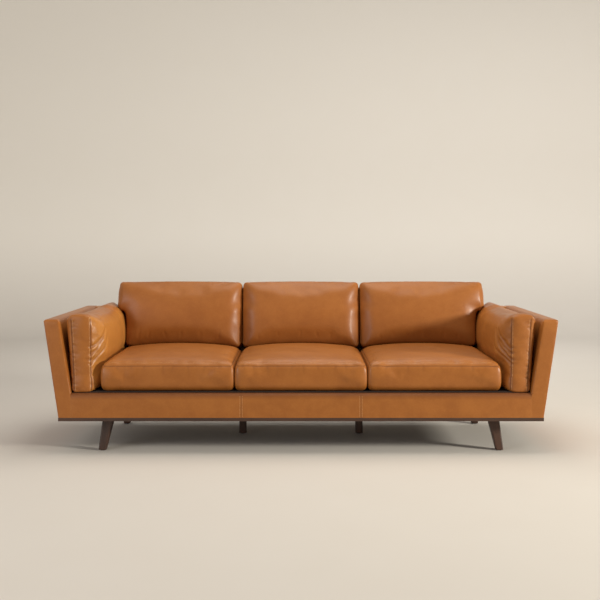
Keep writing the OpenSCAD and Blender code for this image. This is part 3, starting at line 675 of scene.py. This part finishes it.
def stitch_row(name, seam):
    """A row of stitches along a line: one stitch, repeated and bent along it"""
    pitch, radius = sizes().stitch, sizes().thread
    bpy.ops.object.select_all(action="DESELECT")
    bpy.ops.mesh.primitive_uv_sphere_add(segments=6, ring_count=4, radius=1)
    stitch = bpy.context.object
    stitch.name = stitch.data.name = name
    edit()
    bpy.ops.transform.rotate(value=math.pi / 2, orient_axis="Y", center_override=(0, 0, 0))
    bpy.ops.transform.resize(value=(pitch * 0.42, radius, radius))
    bpy.ops.transform.translate(value=(pitch / 2, 0, 0))
    close_edit()
    path = path_curve(name + ".path", seam)
    array = stitch.modifiers.new("Row", "ARRAY")
    array.use_relative_offset = False
    array.use_constant_offset = True
    array.constant_offset_displace = (pitch, 0, 0)
    array.count = max(1, int(seam.along[-1] / pitch))
    bend = stitch.modifiers.new("Bend", "CURVE")
    bend.object = path
    only(stitch)
    for modifier in ("Row", "Bend"):
        bpy.ops.object.modifier_apply(modifier=modifier)
    bpy.data.objects.remove(path)
    dress(stitch, finish_of("thread", thread_finish))
    return stitch


def join(name, parts):
    only(parts[0])
    for part in parts:
        part.select_set(True)
    bpy.ops.object.join()
    piece = bpy.context.object
    piece.name = piece.data.name = name
    return piece


def hand_over(piece, body, nodes=()):
    """Shades a finished piece of leather smooth, gives it the leather finish if it has none, puts it in its body
    and hides the CAD nodes it stands for
    """
    only(piece)
    bpy.ops.object.shade_smooth_by_angle(angle=math.radians(40))
    if not piece.data.materials:
        dress(piece, finish_of("tan_leather", leather))
    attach(piece, body)
    if nodes:
        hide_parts(*nodes)


def trim(piece, body, seams, rows=()):
    """The dark seam lines of painted shade and the stitches that lie on a piece, as one more piece each"""
    name = piece.name
    seams, rows = [seam.on(piece) for seam in seams], [row.on(piece) for row in rows]
    lines = [seam_shade_line(f"{name}_line_{i}", seam) for i, seam in enumerate(seams)]
    hand_over(join(name + "_seams", lines), body)
    if rows:
        made = [stitch_row(f"{name}_row_{i}", row) for i, row in enumerate(rows)]
        hand_over(join(name + "_stitches", made), body)


# ---- Fixed covers ----

def slope(run):
    """Slope of a leaning face whose soft top edge takes a little off its run"""
    rise, radius = TOP_Z - BASE_Z, sizes().edge_radius
    plain = run / rise
    return (run + radius * (plain + math.sqrt(1 + plain * plain) - 1)) / rise


def pad_out(piece, seed, crown, margin):
    """Crowns each flat panel a little and gives it the uneven surface of padded leather"""
    places, normals = points_of(piece)
    low, high = places.min(0), places.max(0)
    facing = np.abs(normals).argmax(1)
    lift = np.ones(len(places))
    for axis in range(3):
        inside = np.minimum(places[:, axis] - low[axis], high[axis] - places[:, axis])
        share = within(inside / margin)
        lift *= np.where(facing == axis, 1.0, share * (2 - share))
    uneven = waves(places, 160 * MM, seed) * 0.5 + waves(places, 55 * MM, seed + 9) * 0.3
    places = places + normals * ((crown * lift * (1 + uneven))[:, None])
    set_points(piece, places)


def cut_beside_seams(seam_x):
    """Cuts close to the seams of the front rail or the back, so that they can be drawn in"""
    cut_across(0, [side * seam_x + by for side in (-1, 1) for by in (-4 * MM, 0, 4 * MM)])


def arm(side, sign):
    """An arm's cover: flared outside and behind, upright below the deck on its inner side"""
    s = sizes()
    out_slope, rear_slope = slope(ARM_OUT - FOOT_OUT), slope(REAR_Y - FOOT_REAR)
    top_in = ARM_OUT - ARM_TOP
    piece = block("arm_" + side, (ARM_IN, FRONT_Y, BASE_Z), (FOOT_OUT, FOOT_REAR, TOP_Z))
    cut_across(2, [DECK_Z])
    middle_x = (ARM_IN + FOOT_OUT) / 2
    middle_y = (FRONT_Y + FOOT_REAR) / 2
    for level in (DECK_Z, TOP_Z):
        height = level - BASE_Z
        at_level = lambda co, level=level: abs(co.z - level) < MM
        shift(lambda co: at_level(co) and co.y > middle_y, (0, rear_slope * height, 0))
        shift(lambda co: at_level(co) and co.x > middle_x, (out_slope * height, 0, 0))
    shift(lambda co: co.z > TOP_Z - MM and co.x < (top_in + ARM_OUT) / 2 - 20 * MM,
          (top_in - ARM_IN, 0, 0))
    round_edges(lambda e: all(v.co.z > TOP_Z - MM for v in e.verts), s.edge_radius)
    beside_rail = lambda e: all(v.co.x < ARM_IN + MM and v.co.z < DECK_Z + MM for v in e.verts)
    round_edges(lambda e: all(v.co.y < FRONT_Y + MM for v in e.verts) and not beside_rail(e)
                and abs(e.verts[0].co.z - e.verts[1].co.z) > 50 * MM, s.front_radius, 3)
    cut_across(2, even_cuts(BASE_Z, TOP_Z - s.edge_radius, s.grid))
    cut_across(1, even_cuts(FRONT_Y + s.front_radius, FOOT_REAR, s.grid))
    cut_across(1, even_cuts(FOOT_REAR, REAR_Y, s.grid))
    cut_across(0, even_cuts(ARM_IN, ARM_OUT, s.grid))
    if sign < 0:
        bpy.ops.mesh.select_all(action="SELECT")
        bpy.ops.transform.mirror(constraint_axis=(True, False, False), center_override=(0, 0, 0))
        bpy.ops.mesh.normals_make_consistent(inside=False)
    close_edit()
    pad_out(piece, 3 + sign, s.panel_crown, 60 * MM)
    mark(piece, "crease", np.zeros(len(piece.data.vertices)))
    mark_wear(piece, gain=0.8)
    hand_over(piece, "frame", ["arm_cover_" + side])


def front_rail():
    """The front rail's cover in three panels, with a soft top edge on which shade is painted"""
    s = sizes()
    half = ARM_IN - 0.1 * MM
    piece = block("front_rail", (-half, FRONT_Y, BASE_Z), (half, FRONT_Y + 20 * MM, RAIL_TOP))
    round_edges(lambda e: all(v.co.y < FRONT_Y + MM and v.co.z > RAIL_TOP - MM for v in e.verts),
                s.rail_radius)
    cut_across(0, even_cuts(-half, half, s.grid))
    cut_beside_seams(s.rail_seam)
    cut_across(2, even_cuts(BASE_Z, RAIL_TOP - s.rail_radius, s.grid))
    close_edit()
    pad_out(piece, 21, s.panel_crown, 40 * MM)
    seams = [Seam([(x, FRONT_Y, BASE_Z + 2 * MM), (x, FRONT_Y, RAIL_TOP - 5 * MM),
                   (x, FRONT_Y + 5 * MM, RAIL_TOP)]) for x in (-s.rail_seam, s.rail_seam)]
    sew(piece, seams, 1.0 * MM, 4 * MM, 0.6)
    mark_wear(piece, gain=0.8)
    places, _ = points_of(piece)
    # Painted shade along the top edge, darkest at the top, where the seat cushions shade the rail
    darken(piece, np.sqrt(within((places[:, 2] - RAIL_TOP) / (1.25 * s.rail_radius) + 1)))
    hand_over(piece, "frame", ["front_rail_cover"])
    rows = [Seam([(x + by, FRONT_Y, BASE_Z + 4 * MM), (x + by, FRONT_Y, RAIL_TOP - 8 * MM)])
            for x in (-s.rail_seam, s.rail_seam) for by in (-6 * MM, 6 * MM)]
    trim(piece, "frame", seams, rows)


def back():
    """The back's cover, inside and outside, between the arms"""
    s = sizes()
    rise = TOP_Z - BASE_Z
    rear_slope = slope(REAR_Y - FOOT_REAR)
    half = ARM_IN - 0.3 * MM
    half_top = ARM_OUT - ARM_TOP - 0.3 * MM
    piece = block("back", (-half, FOOT_REAR - BACK_THICK, BASE_Z), (half, FOOT_REAR, TOP_Z))
    cut_across(2, [DECK_Z])
    shift(lambda co: abs(co.z - DECK_Z) < MM, (0, rear_slope * (DECK_Z - BASE_Z), 0))
    shift(lambda co: co.z > TOP_Z - MM, (0, rear_slope * rise, 0))
    for sign in (-1, 1):
        shift(lambda co: co.z > TOP_Z - MM and co.x * sign > 0, (sign * (half_top - half), 0, 0))
    round_edges(lambda e: all(v.co.z > TOP_Z - MM for v in e.verts)
                and abs(e.verts[0].co.x - e.verts[1].co.x) > 1, s.edge_radius)
    cut_across(2, even_cuts(BASE_Z, TOP_Z - s.edge_radius, s.grid))
    cut_across(0, even_cuts(-half, half, 2 * s.grid))
    cut_beside_seams(s.rail_seam)
    close_edit()
    pad_out(piece, 31, s.panel_crown, 60 * MM)
    top_y = FOOT_REAR + rear_slope * (rise - s.edge_radius)
    seams = [Seam([(x, FOOT_REAR, BASE_Z + 2 * MM), (x, top_y, TOP_Z - s.edge_radius),
                   (x, top_y - 12 * MM, TOP_Z)]) for x in (-s.rail_seam, s.rail_seam)]
    sew(piece, seams, 1.0 * MM, 4 * MM, 0.6)
    mark_wear(piece, gain=0.8)
    hand_over(piece, "frame", ["inside_back_cover", "outside_back_cover"])
    trim(piece, "frame", seams)


# ---- Loose cushions ----

def stuffed(kind, place, sewn, least, more, softened, calm):
    """A cushion: its core's shape, laid over with cells, rounded where it is softened, pumped
    up but held along its seams, and calmed away from them"""
    core = frame["nodes"][f"{kind}_core_{place}"]
    piece = add(f"{kind}_{place}", core.data.copy())
    piece.data.materials.clear()
    only(piece)
    edit()
    bpy.ops.mesh.remove_doubles(threshold=0.05 * MM)
    bpy.ops.transform.shrink_fatten(value=COVER_OUT)
    close_edit()
    piece.data.remesh_voxel_size = sizes().voxel
    bpy.ops.object.voxel_remesh()
    edit()
    bpy.ops.mesh.vertices_smooth(factor=0.5, repeat=5)
    for test, repeat in softened:
        pick(lambda v, test=test: test(v.co, v.normal))
        bpy.ops.mesh.vertices_smooth(factor=0.5, repeat=repeat)
    close_edit()
    pump(piece, sewn, least, more)
    edit()
    pick(lambda v: all(seam.tree.find(v.co)[2] > HELD for seam in sewn))
    bpy.ops.mesh.vertices_smooth(factor=0.5, repeat=calm)
    close_edit()
    dense = piece.modifiers.new("Dense", "SUBSURF")
    dense.levels = dense.render_levels = 1
    bpy.ops.object.modifier_apply(modifier="Dense")
    return piece


def pump(piece, sewn, least, more):
    """Blows a cushion up as cloth under pressure. Each point may move by the least distance,
    and further the more it faces one of the given directions"""
    before, normals = points_of(piece)
    held = np.zeros(len(before), dtype=bool)
    for seam in sewn:
        held |= seam.away(before) < 0.8 * sizes().voxel
    group = piece.vertex_groups.new(name="sewn")
    group.add([int(i) for i in np.flatnonzero(held)], 1.0, "REPLACE")
    cloth = piece.modifiers.new("Cloth", "CLOTH")
    for name, value in CLOTH.items():
        setattr(cloth.settings, name, value)
    cloth.settings.effector_weights.gravity = 0
    scene = bpy.context.scene
    for step in range(1, sizes().steps + 1):
        scene.frame_set(step)
    bpy.ops.object.modifier_apply(modifier="Cloth")
    scene.frame_set(1)
    after, _ = points_of(piece)
    move = after - before
    length = np.linalg.norm(move, axis=1)
    cap = sum((far * within(normals @ np.array(facing)) for facing, far in more.items()), least)
    piece.vertex_groups.clear()
    set_points(piece, before + move * np.minimum(1, cap / np.maximum(length, 1e-9))[:, None])


def lay_down(piece, place, seams, rows=()):
    """Puts a finished cushion in its body, hides its CAD nodes, and gives it its seam lines of painted shade and
    its stitches
    """
    kind = piece.name.split("_")[0]
    hand_over(piece, piece.name, [f"{kind}_cushion_{place}", f"{kind}_core_{place}"])
    trim(piece, piece.name, seams, rows)


def seat(place, step):
    """A boxed seat cushion with a crowned top and one seam round its front and sides"""
    low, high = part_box("seat_cushion_" + place)
    front, rear = low.y, high.y
    middle, half = (low.x + high.x) / 2, (high.x - low.x) / 2
    seam_z = low.z + SEAT_FRONT_SEAM
    side_z = low.z + SEAT_SIDE_SEAM
    corner = 18 * MM
    half_seam = [(0, rear - 20 * MM, side_z), (0, front + 120 * MM, side_z),
                 (4 * MM, front + corner, seam_z), (corner, front, seam_z)]
    top = Seam([(low.x + x, y, z) for x, y, z in half_seam]
               + [(high.x - x, y, z) for x, y, z in reversed(half_seam)])

    def at_side(co, reach):
        return half - abs(co.x - middle) < reach

    softened = [  # the front's upright edges, the top's sides, its front corners, the top
        (lambda co, normal: at_side(co, 28 * MM) and co.y < front + 28 * MM, 5),
        (lambda co, normal: at_side(co, 30 * MM) and co.z > side_z - 30 * MM, 8),
        (lambda co, normal: (at_side(co, 50 * MM) and co.y < front + 40 * MM
                             and co.z > seam_z - 30 * MM), 14),
        (lambda co, normal: normal.z > 0.3, 10)]
    piece = stuffed("seat", place, [top], 2 * MM, {UP: 7 * MM, FORWARD: 7 * MM}, softened, 7)
    places, _ = points_of(piece)
    # The front's foot hangs a little over the deck's edge, and the sides meet their neighbours
    at_front = within(1 - (places[:, 1] - front) / (30 * MM))
    places[:, 2] -= 5 * MM * at_front * within(1 - (places[:, 2] - low.z) / (60 * MM))
    places[:, 2] = np.maximum(places[:, 2], low.z - 6 * MM * at_front)
    places[:, 0] = np.clip(places[:, 0] + 3 * MM * (places[:, 0] - middle) / half, low.x, high.x)
    set_points(piece, places)
    top = top.on(piece)
    row = Seam([(x, front + 17 * MM, seam_z + 20 * MM)
                for x in even_cuts(low.x + 30 * MM, high.x - 30 * MM, 10 * MM)]).on(piece)
    sew(piece, [top], 1.4 * MM, 5 * MM, 0.55)
    sew(piece, [row], 0.9 * MM, 4 * MM, 0.15)
    short = folds_from(top, lambda lean: (lean * 0.25, 0, -1), 75 * MM, 55 * MM,
                       40 + step, 0.37, 0.63)
    fold(piece, short, 0.9 * MM, 9 * MM, 50 + step)
    mark_wear(piece, gain=2.0)
    lay_down(piece, place, [top], [row])


def on_lean(x, depth, height):
    """A point on a back cushion, from its depth before the back and its height along the lean"""
    seat_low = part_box("seat_cushion_middle")[0]
    heel_z = seat_low.z + HEEL_RISE
    heel_y = BACK_IN_DECK + BACK_SLOPE * (heel_z - DECK_Z) - 0.6 * MM
    sine, cosine = LIFT.y, LIFT.z
    return (x, heel_y - depth * cosine + height * sine, heel_z + depth * sine + height * cosine)


def back_cushion(place, step):
    """A boxed back cushion; the outer ones have a lobe that stands on the side cushion"""
    low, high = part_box("back_cushion_" + place)
    plain, seat_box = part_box("back_cushion_middle"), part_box("seat_cushion_right")
    half, pitch = (plain[1].x - plain[0].x) / 2, (seat_box[0].x + seat_box[1].x) / 2
    middle = step * pitch
    tall = BACK_TALL

    def edge(sign, height):
        reach = half
        if step and sign == step and height > LOBE_FOOT:
            reach = abs(high.x if step > 0 else low.x) - pitch
        return middle + sign * (reach - 2 * MM)

    def rim(before_foot, before_top):
        """A line round the cushion's edge, at a distance before the back"""
        def depth(height):
            return before_foot + (before_top - before_foot) * height / tall
        heights = [10 * MM, 100 * MM, LOBE_FOOT, LOBE_SIDE, 280 * MM, tall - 16 * MM]
        left = [on_lean(edge(-1, h), depth(h), h) for h in heights]
        right = [on_lean(edge(1, h), depth(h), h) for h in reversed(heights)]
        top = [on_lean(edge(-1, tall) + 18 * MM, depth(tall), tall),
               on_lean(middle, depth(tall), tall + 5 * MM),
               on_lean(edge(1, tall) - 18 * MM, depth(tall), tall)]
        return Seam(left + top + right)

    boxing = rim(160 * MM, 130 * MM)
    front_edge = rim(205 * MM, 175 * MM)

    lobe_z = on_lean(0, 100 * MM, LOBE_SIDE)[2]

    def beside_arm(co):
        return step and (co.x - middle) * step > half - 45 * MM and co.z < lobe_z + 30 * MM

    heel = on_lean(0, 0, 0)

    def before_back(co):
        return (heel[1] - co[1]) * LIFT.z + (co[2] - heel[2]) * LIFT.y

    upper_z = on_lean(0, 170 * MM, tall - 150 * MM)[2]
    lower_z = on_lean(0, 200 * MM, 0.55 * tall)[2]
    softened = [  # the front, its edges, the top's front edge, the lower front
        (lambda co, normal: normal.y < -0.35 and not beside_arm(co), 34),
        (lambda co, normal: front_edge.tree.find(co)[2] < 34 * MM and not beside_arm(co), 12),
        (lambda co, normal: co.z > upper_z and before_back(co) > 145 * MM, 80),
        (lambda co, normal: (co.z < lower_z and before_back(co) > 150 * MM and normal.z > -0.5
                             and not beside_arm(co)), 24)]
    more = {FORWARD: 8 * MM, UP: 4 * MM, LEFT: 2 * MM, RIGHT: 2 * MM}
    piece = stuffed("back", place, [boxing], 1.5 * MM, more, softened, 26)
    places, _ = points_of(piece)
    height = ((places[:, 2] - heel[2]) * LIFT.z - (heel[1] - places[:, 1]) * LIFT.y) / tall
    forward = within((before_back(places.T) - 80 * MM) / (110 * MM))
    # The lower front sinks back behind the seat, and the top stands a little higher
    low_front = forward * within(1 - height / 0.55) ** 1.6
    places[:, 1] += 18 * MM * low_front
    places[:, 2] += 5 * MM * within(height / 0.4 - 1.5)
    # The outer side meets the side cushion, and fills the corner under the lobe
    reach = step * (places[:, 0] - middle) - half
    places[:, 0] += step * 13 * MM * within(1 - np.abs(reach) / (60 * MM))
    corner = (forward * within(1 - np.abs(reach) / (50 * MM))
              * within(1 - np.abs(height * tall - LOBE_FOOT) / (80 * MM)))
    places[:, 0] += step * 12 * MM * corner
    places[:, 2] -= 18 * MM * corner
    in_lobe = within((reach + 8 * MM) / (20 * MM))
    places[:, 2] -= 12 * MM * in_lobe * within(3.4 - height / 0.25)
    set_points(piece, places)
    # Painted shade: the whole cushion a little darker, and its lower front, which turns in under the seat, darker
    # still
    darken(piece, 0.16 + 0.4 * low_front)
    boxing, front_edge = boxing.on(piece), front_edge.on(piece)
    sew(piece, [boxing], 1.5 * MM, 6 * MM)
    foot = Seam([on_lean(middle + by, 196 * MM, 30 * MM) for by in (-half * 0.8, half * 0.8)])
    soft = folds_from(foot, lambda lean: (lean * 0.2, 0.1, 1), 85 * MM, 75 * MM, 60 + step)
    soft += folds_from(front_edge, lambda lean: (-1, 0, lean * 0.4), 50 * MM, 40 * MM,
                       70 + step, 0.62, 0.72)
    fold(piece, soft, 1.6 * MM, 8 * MM, 80 + step)
    places, _ = points_of(piece)
    places[:, 0] = np.clip(places[:, 0], low.x, high.x)
    set_points(piece, places)
    give_way(piece, "seat_" + place, "back")
    mark_wear(piece, gain=1.6)
    lay_down(piece, place, [boxing])


def side_cushion(side, sign):
    """A long cushion that stands on edge inside an arm, with two seams down its front"""
    low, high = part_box("side_cushion_right")
    front, rear = low.y, high.y
    top_z = low.z + SIDE_TALL
    outer_foot = high.x - 21 * MM
    seam_foot, seam_top = 1042 * MM, 1052 * MM
    inward = LEFT if sign > 0 else RIGHT

    def front_line(x_foot, x_top):
        return Seam([(sign * x, y, z) for x, y, z in (
            (x_foot, front, low.z + 6 * MM), (x_top, front, top_z - 4 * MM))])

    inner = front_line(seam_foot, seam_top)
    outer = front_line(outer_foot - 14 * MM, high.x - 20 * MM)
    along_top = Seam([(sign * (high.x - 20 * MM), y, top_z + 4 * MM)
                      for y in even_cuts(front + 20 * MM, rear - 30 * MM, 50 * MM)])
    backs_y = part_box("back_cushion_middle")[0].y
    softened = [  # the top's inner edge, the front's inner edge, the inner panel
        (lambda co, normal: (abs(abs(co.x) - seam_top) < 40 * MM and co.z > top_z - 50 * MM
                             and front + 50 * MM < co.y < backs_y - 20 * MM), 24),
        (lambda co, normal: co.y < front + 50 * MM and abs(co.x) < seam_top + 12 * MM, 6),
        (lambda co, normal: -sign * normal.x > 0.4 and co.y < backs_y - 20 * MM, 12)]
    more = {inward: 4 * MM, FORWARD: 5 * MM, UP: 6 * MM}
    piece = stuffed("side", side, [inner, outer], 2 * MM, more, softened, 3)
    places, _ = points_of(piece)
    rise = (places[:, 2] - low.z) / (top_z - low.z)
    foot = within(1 - rise / 0.2)
    crown = within(rise / 0.4 - 1.5)
    ahead = within(1 - (places[:, 1] - front) / (130 * MM))
    outside = within((np.abs(places[:, 0]) - outer_foot + 50 * MM) / (50 * MM))
    under_lobe = within((places[:, 1] - backs_y + 20 * MM) / (40 * MM))
    # The front bulges above and below, and its top stands up; the rear rises under the lobe
    places[:, 1] -= 8 * MM * ahead * np.maximum(foot, crown)
    at_front = within(1 - (places[:, 1] - front) / (30 * MM))
    places[:, 2] += crown * (18 * MM * ahead + 12 * MM * under_lobe * (1 - outside))
    places[:, 2] -= 4 * MM * foot * at_front
    places[:, 2] = np.maximum(places[:, 2], low.z - 5 * MM * at_front)
    # The inner side gives way to the back cushion, and the outer top leans on the arm
    beside_back = within((places[:, 1] - backs_y + 140 * MM) / (120 * MM))
    inside = within((1050 * MM - np.abs(places[:, 0])) / (60 * MM))
    places[:, 0] += sign * (7 * MM * outside * within(rise) + 8 * MM * inside * beside_back)
    set_points(piece, places)
    inner, outer = inner.on(piece), outer.on(piece)
    sew(piece, [inner, outer], 2.0 * MM, 6 * MM)
    fan = folds_from(inner, lambda lean: (-0.12 * sign, 0.66, 0.74 + 0.2 * lean),
                     28 * MM, 180 * MM, 90 + sign, 0.36, 0.64)
    fold(piece, fan, 6.5 * MM, 8 * MM, 100 + sign, inward)
    nips = folds_from(outer, lambda lean: (-sign, 0, 0.8 * lean), 34 * MM, 35 * MM, 110 + sign)
    nips += folds_from(outer, lambda lean: (-sign, 0, -0.5 + 0.2 * lean), 12 * MM, 50 * MM,
                       120 + sign, 0.9, 1.0)
    fold(piece, nips, 1.6 * MM, 5 * MM, 130 + sign)
    give_way(piece, "seat_" + side, "back_" + side, "back")
    # The inner panel is paler where it faces inward: partly stretched leather, partly painted light, so the left
    # cushion, which faces the window lamp, gets more than the right one
    _, normals = points_of(piece)
    facing_in = within(-sign * normals[:, 0] * 2 - 0.8)
    painted_light = 0.8 if sign < 0 else 0.3
    mark(piece, "wear", within(stand_out(piece) * 3.0) + painted_light * facing_in)
    rows = [Seam(seam.points + np.array([sign * by, 0, 0]))
            for seam, by in ((inner, 8 * MM), (outer, -8 * MM))]
    lay_down(piece, side, [inner, outer, along_top], rows)


# ---- Stage ----

WALL_RADIUS, WALL_HIGH, WALL_BEND = 7.5, 5.0, 2.0
DAYLIGHT, DAYLIGHT_STRENGTH = (1.0, 0.96, 0.90, 1), 0.42
# Each lamp's name, place, target, width and height, watts and colour
LAMPS = (
    ("window", (5.95, -2.8, 1.95), (0, 0, 0.4), (0.9, 0.7), 390, (1.0, 0.975, 0.88)),
    ("fill", (-4.3, -3.7, 1.6), (-1.2, -0.5, 0.1), (3.2, 2.2), 92, (0.98, 0.98, 1.0)),
    ("top", (0.2, 0.0, 3.3), (0, 0, 0), (3.2, 2.0), 52, (1.0, 0.95, 0.86)),
    ("wall", (1.2, 3.0, 3.6), (1.0, 6.2, 0.0), (4.0, 1.0), 78, (1, 1, 1)))
CAMERA_AT = (-0.005, -5.110, 1.0906)
LENS = (56.0, 36.0, -0.1075)  # focal length and sensor width in mm, and vertical shift


def area_light(name, at, towards, size, power, colour):
    """A rectangular lamp that points at a place"""
    lamp = bpy.data.lights.new(name, "AREA")
    lamp.shape = "RECTANGLE"
    lamp.size, lamp.size_y = size
    lamp.energy = power
    lamp.color = colour
    light = add(name, lamp)
    light.location = at
    light.rotation_euler = (Vector(towards) - Vector(at)).to_track_quat("-Z", "Y").to_euler()


def make_stage():
    """A round floor whose rim bends up into a wall, with the lamps and the camera"""
    scene = bpy.context.scene
    scene.view_settings.view_transform = "Standard"
    flat = WALL_RADIUS - WALL_BEND
    bpy.ops.object.select_all(action="DESELECT")
    bpy.ops.mesh.primitive_circle_add(vertices=96, radius=flat, fill_type="TRIFAN")
    floor = bpy.context.object
    floor.name = "backdrop"
    edit()
    steps = 10
    for i in range(steps):
        pick(lambda e: e.is_boundary, "edges")
        bpy.ops.mesh.extrude_region_move()
        a, b = (math.pi / 2 * (i + k) / steps for k in (0, 1))
        grow = (flat + WALL_BEND * math.sin(b)) / (flat + WALL_BEND * math.sin(a))
        bpy.ops.transform.resize(value=(grow, grow, 1), center_override=(0, 0, 0))
        bpy.ops.transform.translate(value=(0, 0, WALL_BEND * (math.cos(a) - math.cos(b))))
    pick(lambda e: e.is_boundary, "edges")
    bpy.ops.mesh.extrude_region_move()
    bpy.ops.transform.translate(value=(0, 0, WALL_HIGH - WALL_BEND))
    bpy.ops.mesh.select_all(action="SELECT")
    bpy.ops.mesh.normals_make_consistent(inside=True)
    close_edit()
    bpy.ops.object.shade_smooth()
    s = Shader("backdrop")
    where = s.place()
    height = s.split(where)[2]
    paint = s.mix(s.step(height, 0.0, 1.2), opaque(colours().floor), opaque(colours().wall))
    paint = s.mix(s.noise(where, 3, 2) * 0.06, paint, (1, 1, 1, 1))
    seen = [s.node("LightPath", output=f"Is {ray} Ray")
            for ray in ("Camera", "Glossy", "Transmission")]
    seen = s.math("MAXIMUM", seen[0], s.math("MAXIMUM", seen[1], seen[2]))
    paint = s.mix(seen * 0.5 + 0.5, (0, 0, 0, 1), paint)
    floor.data.materials.append(s.finish(Base_Color=paint, Roughness=0.85, Specular_IOR_Level=0.2))

    world = scene.world or bpy.data.worlds.new("World")
    scene.world = world
    world.use_nodes = True
    background = world.node_tree.nodes["Background"]
    background.inputs["Color"].default_value = DAYLIGHT
    background.inputs["Strength"].default_value = DAYLIGHT_STRENGTH
    for lamp in LAMPS:
        area_light(*lamp)
    camera = add("camera", bpy.data.cameras.new("camera"))
    camera.data.lens, camera.data.sensor_width, camera.data.shift_y = LENS
    camera.location = CAMERA_AT
    camera.rotation_euler = (math.pi / 2, 0, 0)
    scene.camera = camera


# ---- Operators ----

class SOFA_OT_stage(bpy.types.Operator):
    """Make the floor, the backdrop, the lights and the camera"""
    bl_idname = "sofa.stage"
    bl_label = "Stage"

    def execute(self, context):
        make_stage()
        return {"FINISHED"}


class SOFA_OT_finishes(bpy.types.Operator):
    """Give each piece of the frame its finish"""
    bl_idname = "sofa.finishes"
    bl_label = "Frame finishes"

    def execute(self, context):
        for part in frame["record"]["subparts"]:
            node = frame["nodes"][part["node"]]
            dress(node, finish_for(part["material_slot"], part["node"]))
        return {"FINISHED"}


class SOFA_OT_arms(bpy.types.Operator):
    """Cover both arms"""
    bl_idname = "sofa.arms"
    bl_label = "Arms"

    def execute(self, context):
        for side, sign in SIDES.items():
            arm(side, sign)
        return {"FINISHED"}


class SOFA_OT_body(bpy.types.Operator):
    """Cover the front rail and the back"""
    bl_idname = "sofa.body"
    bl_label = "Front rail and back"

    def execute(self, context):
        front_rail()
        back()
        return {"FINISHED"}


class SOFA_OT_seats(bpy.types.Operator):
    """Make the three seat cushions"""
    bl_idname = "sofa.seats"
    bl_label = "Seat cushions"

    def execute(self, context):
        for place, step in PLACES.items():
            seat(place, step)
        return {"FINISHED"}


class SOFA_OT_backs(bpy.types.Operator):
    """Make the three back cushions"""
    bl_idname = "sofa.backs"
    bl_label = "Back cushions"

    def execute(self, context):
        for place, step in PLACES.items():
            back_cushion(place, step)
        return {"FINISHED"}


class SOFA_OT_sides(bpy.types.Operator):
    """Make the two side cushions"""
    bl_idname = "sofa.sides"
    bl_label = "Side cushions"

    def execute(self, context):
        for side, sign in SIDES.items():
            side_cushion(side, sign)
        return {"FINISHED"}


STEPS = (SOFA_OT_stage, SOFA_OT_finishes, SOFA_OT_arms, SOFA_OT_body, SOFA_OT_seats,
         SOFA_OT_backs, SOFA_OT_sides)


class SOFA_PT_panel(bpy.types.Panel):
    """Sizes, colours and steps of the sofa"""
    bl_idname = "SOFA_PT_panel"
    bl_label = "Sofa"
    bl_space_type = "VIEW_3D"
    bl_region_type = "UI"
    bl_category = "Sofa"

    def draw(self, context):
        for group in (context.scene.sofa_sizes, context.scene.sofa_colours):
            for name in group.bl_rna.properties.keys():
                if name not in ("rna_type", "name"):
                    self.layout.prop(group, name)
        for step in STEPS:
            self.layout.operator(step.bl_idname)


CLASSES = (SofaSizes, SofaColours, *STEPS, SOFA_PT_panel)


def register():
    for each in CLASSES:
        bpy.utils.register_class(each)
    bpy.types.Scene.sofa_sizes = PointerProperty(type=SofaSizes)
    bpy.types.Scene.sofa_colours = PointerProperty(type=SofaColours)


def unregister():
    del bpy.types.Scene.sofa_colours
    del bpy.types.Scene.sofa_sizes
    for each in reversed(CLASSES):
        bpy.utils.unregister_class(each)


def main():
    register()
    for step in STEPS:
        group, name = step.bl_idname.split(".")
        getattr(getattr(bpy.ops, group), name)()


if __name__ == "__main__":
    main()
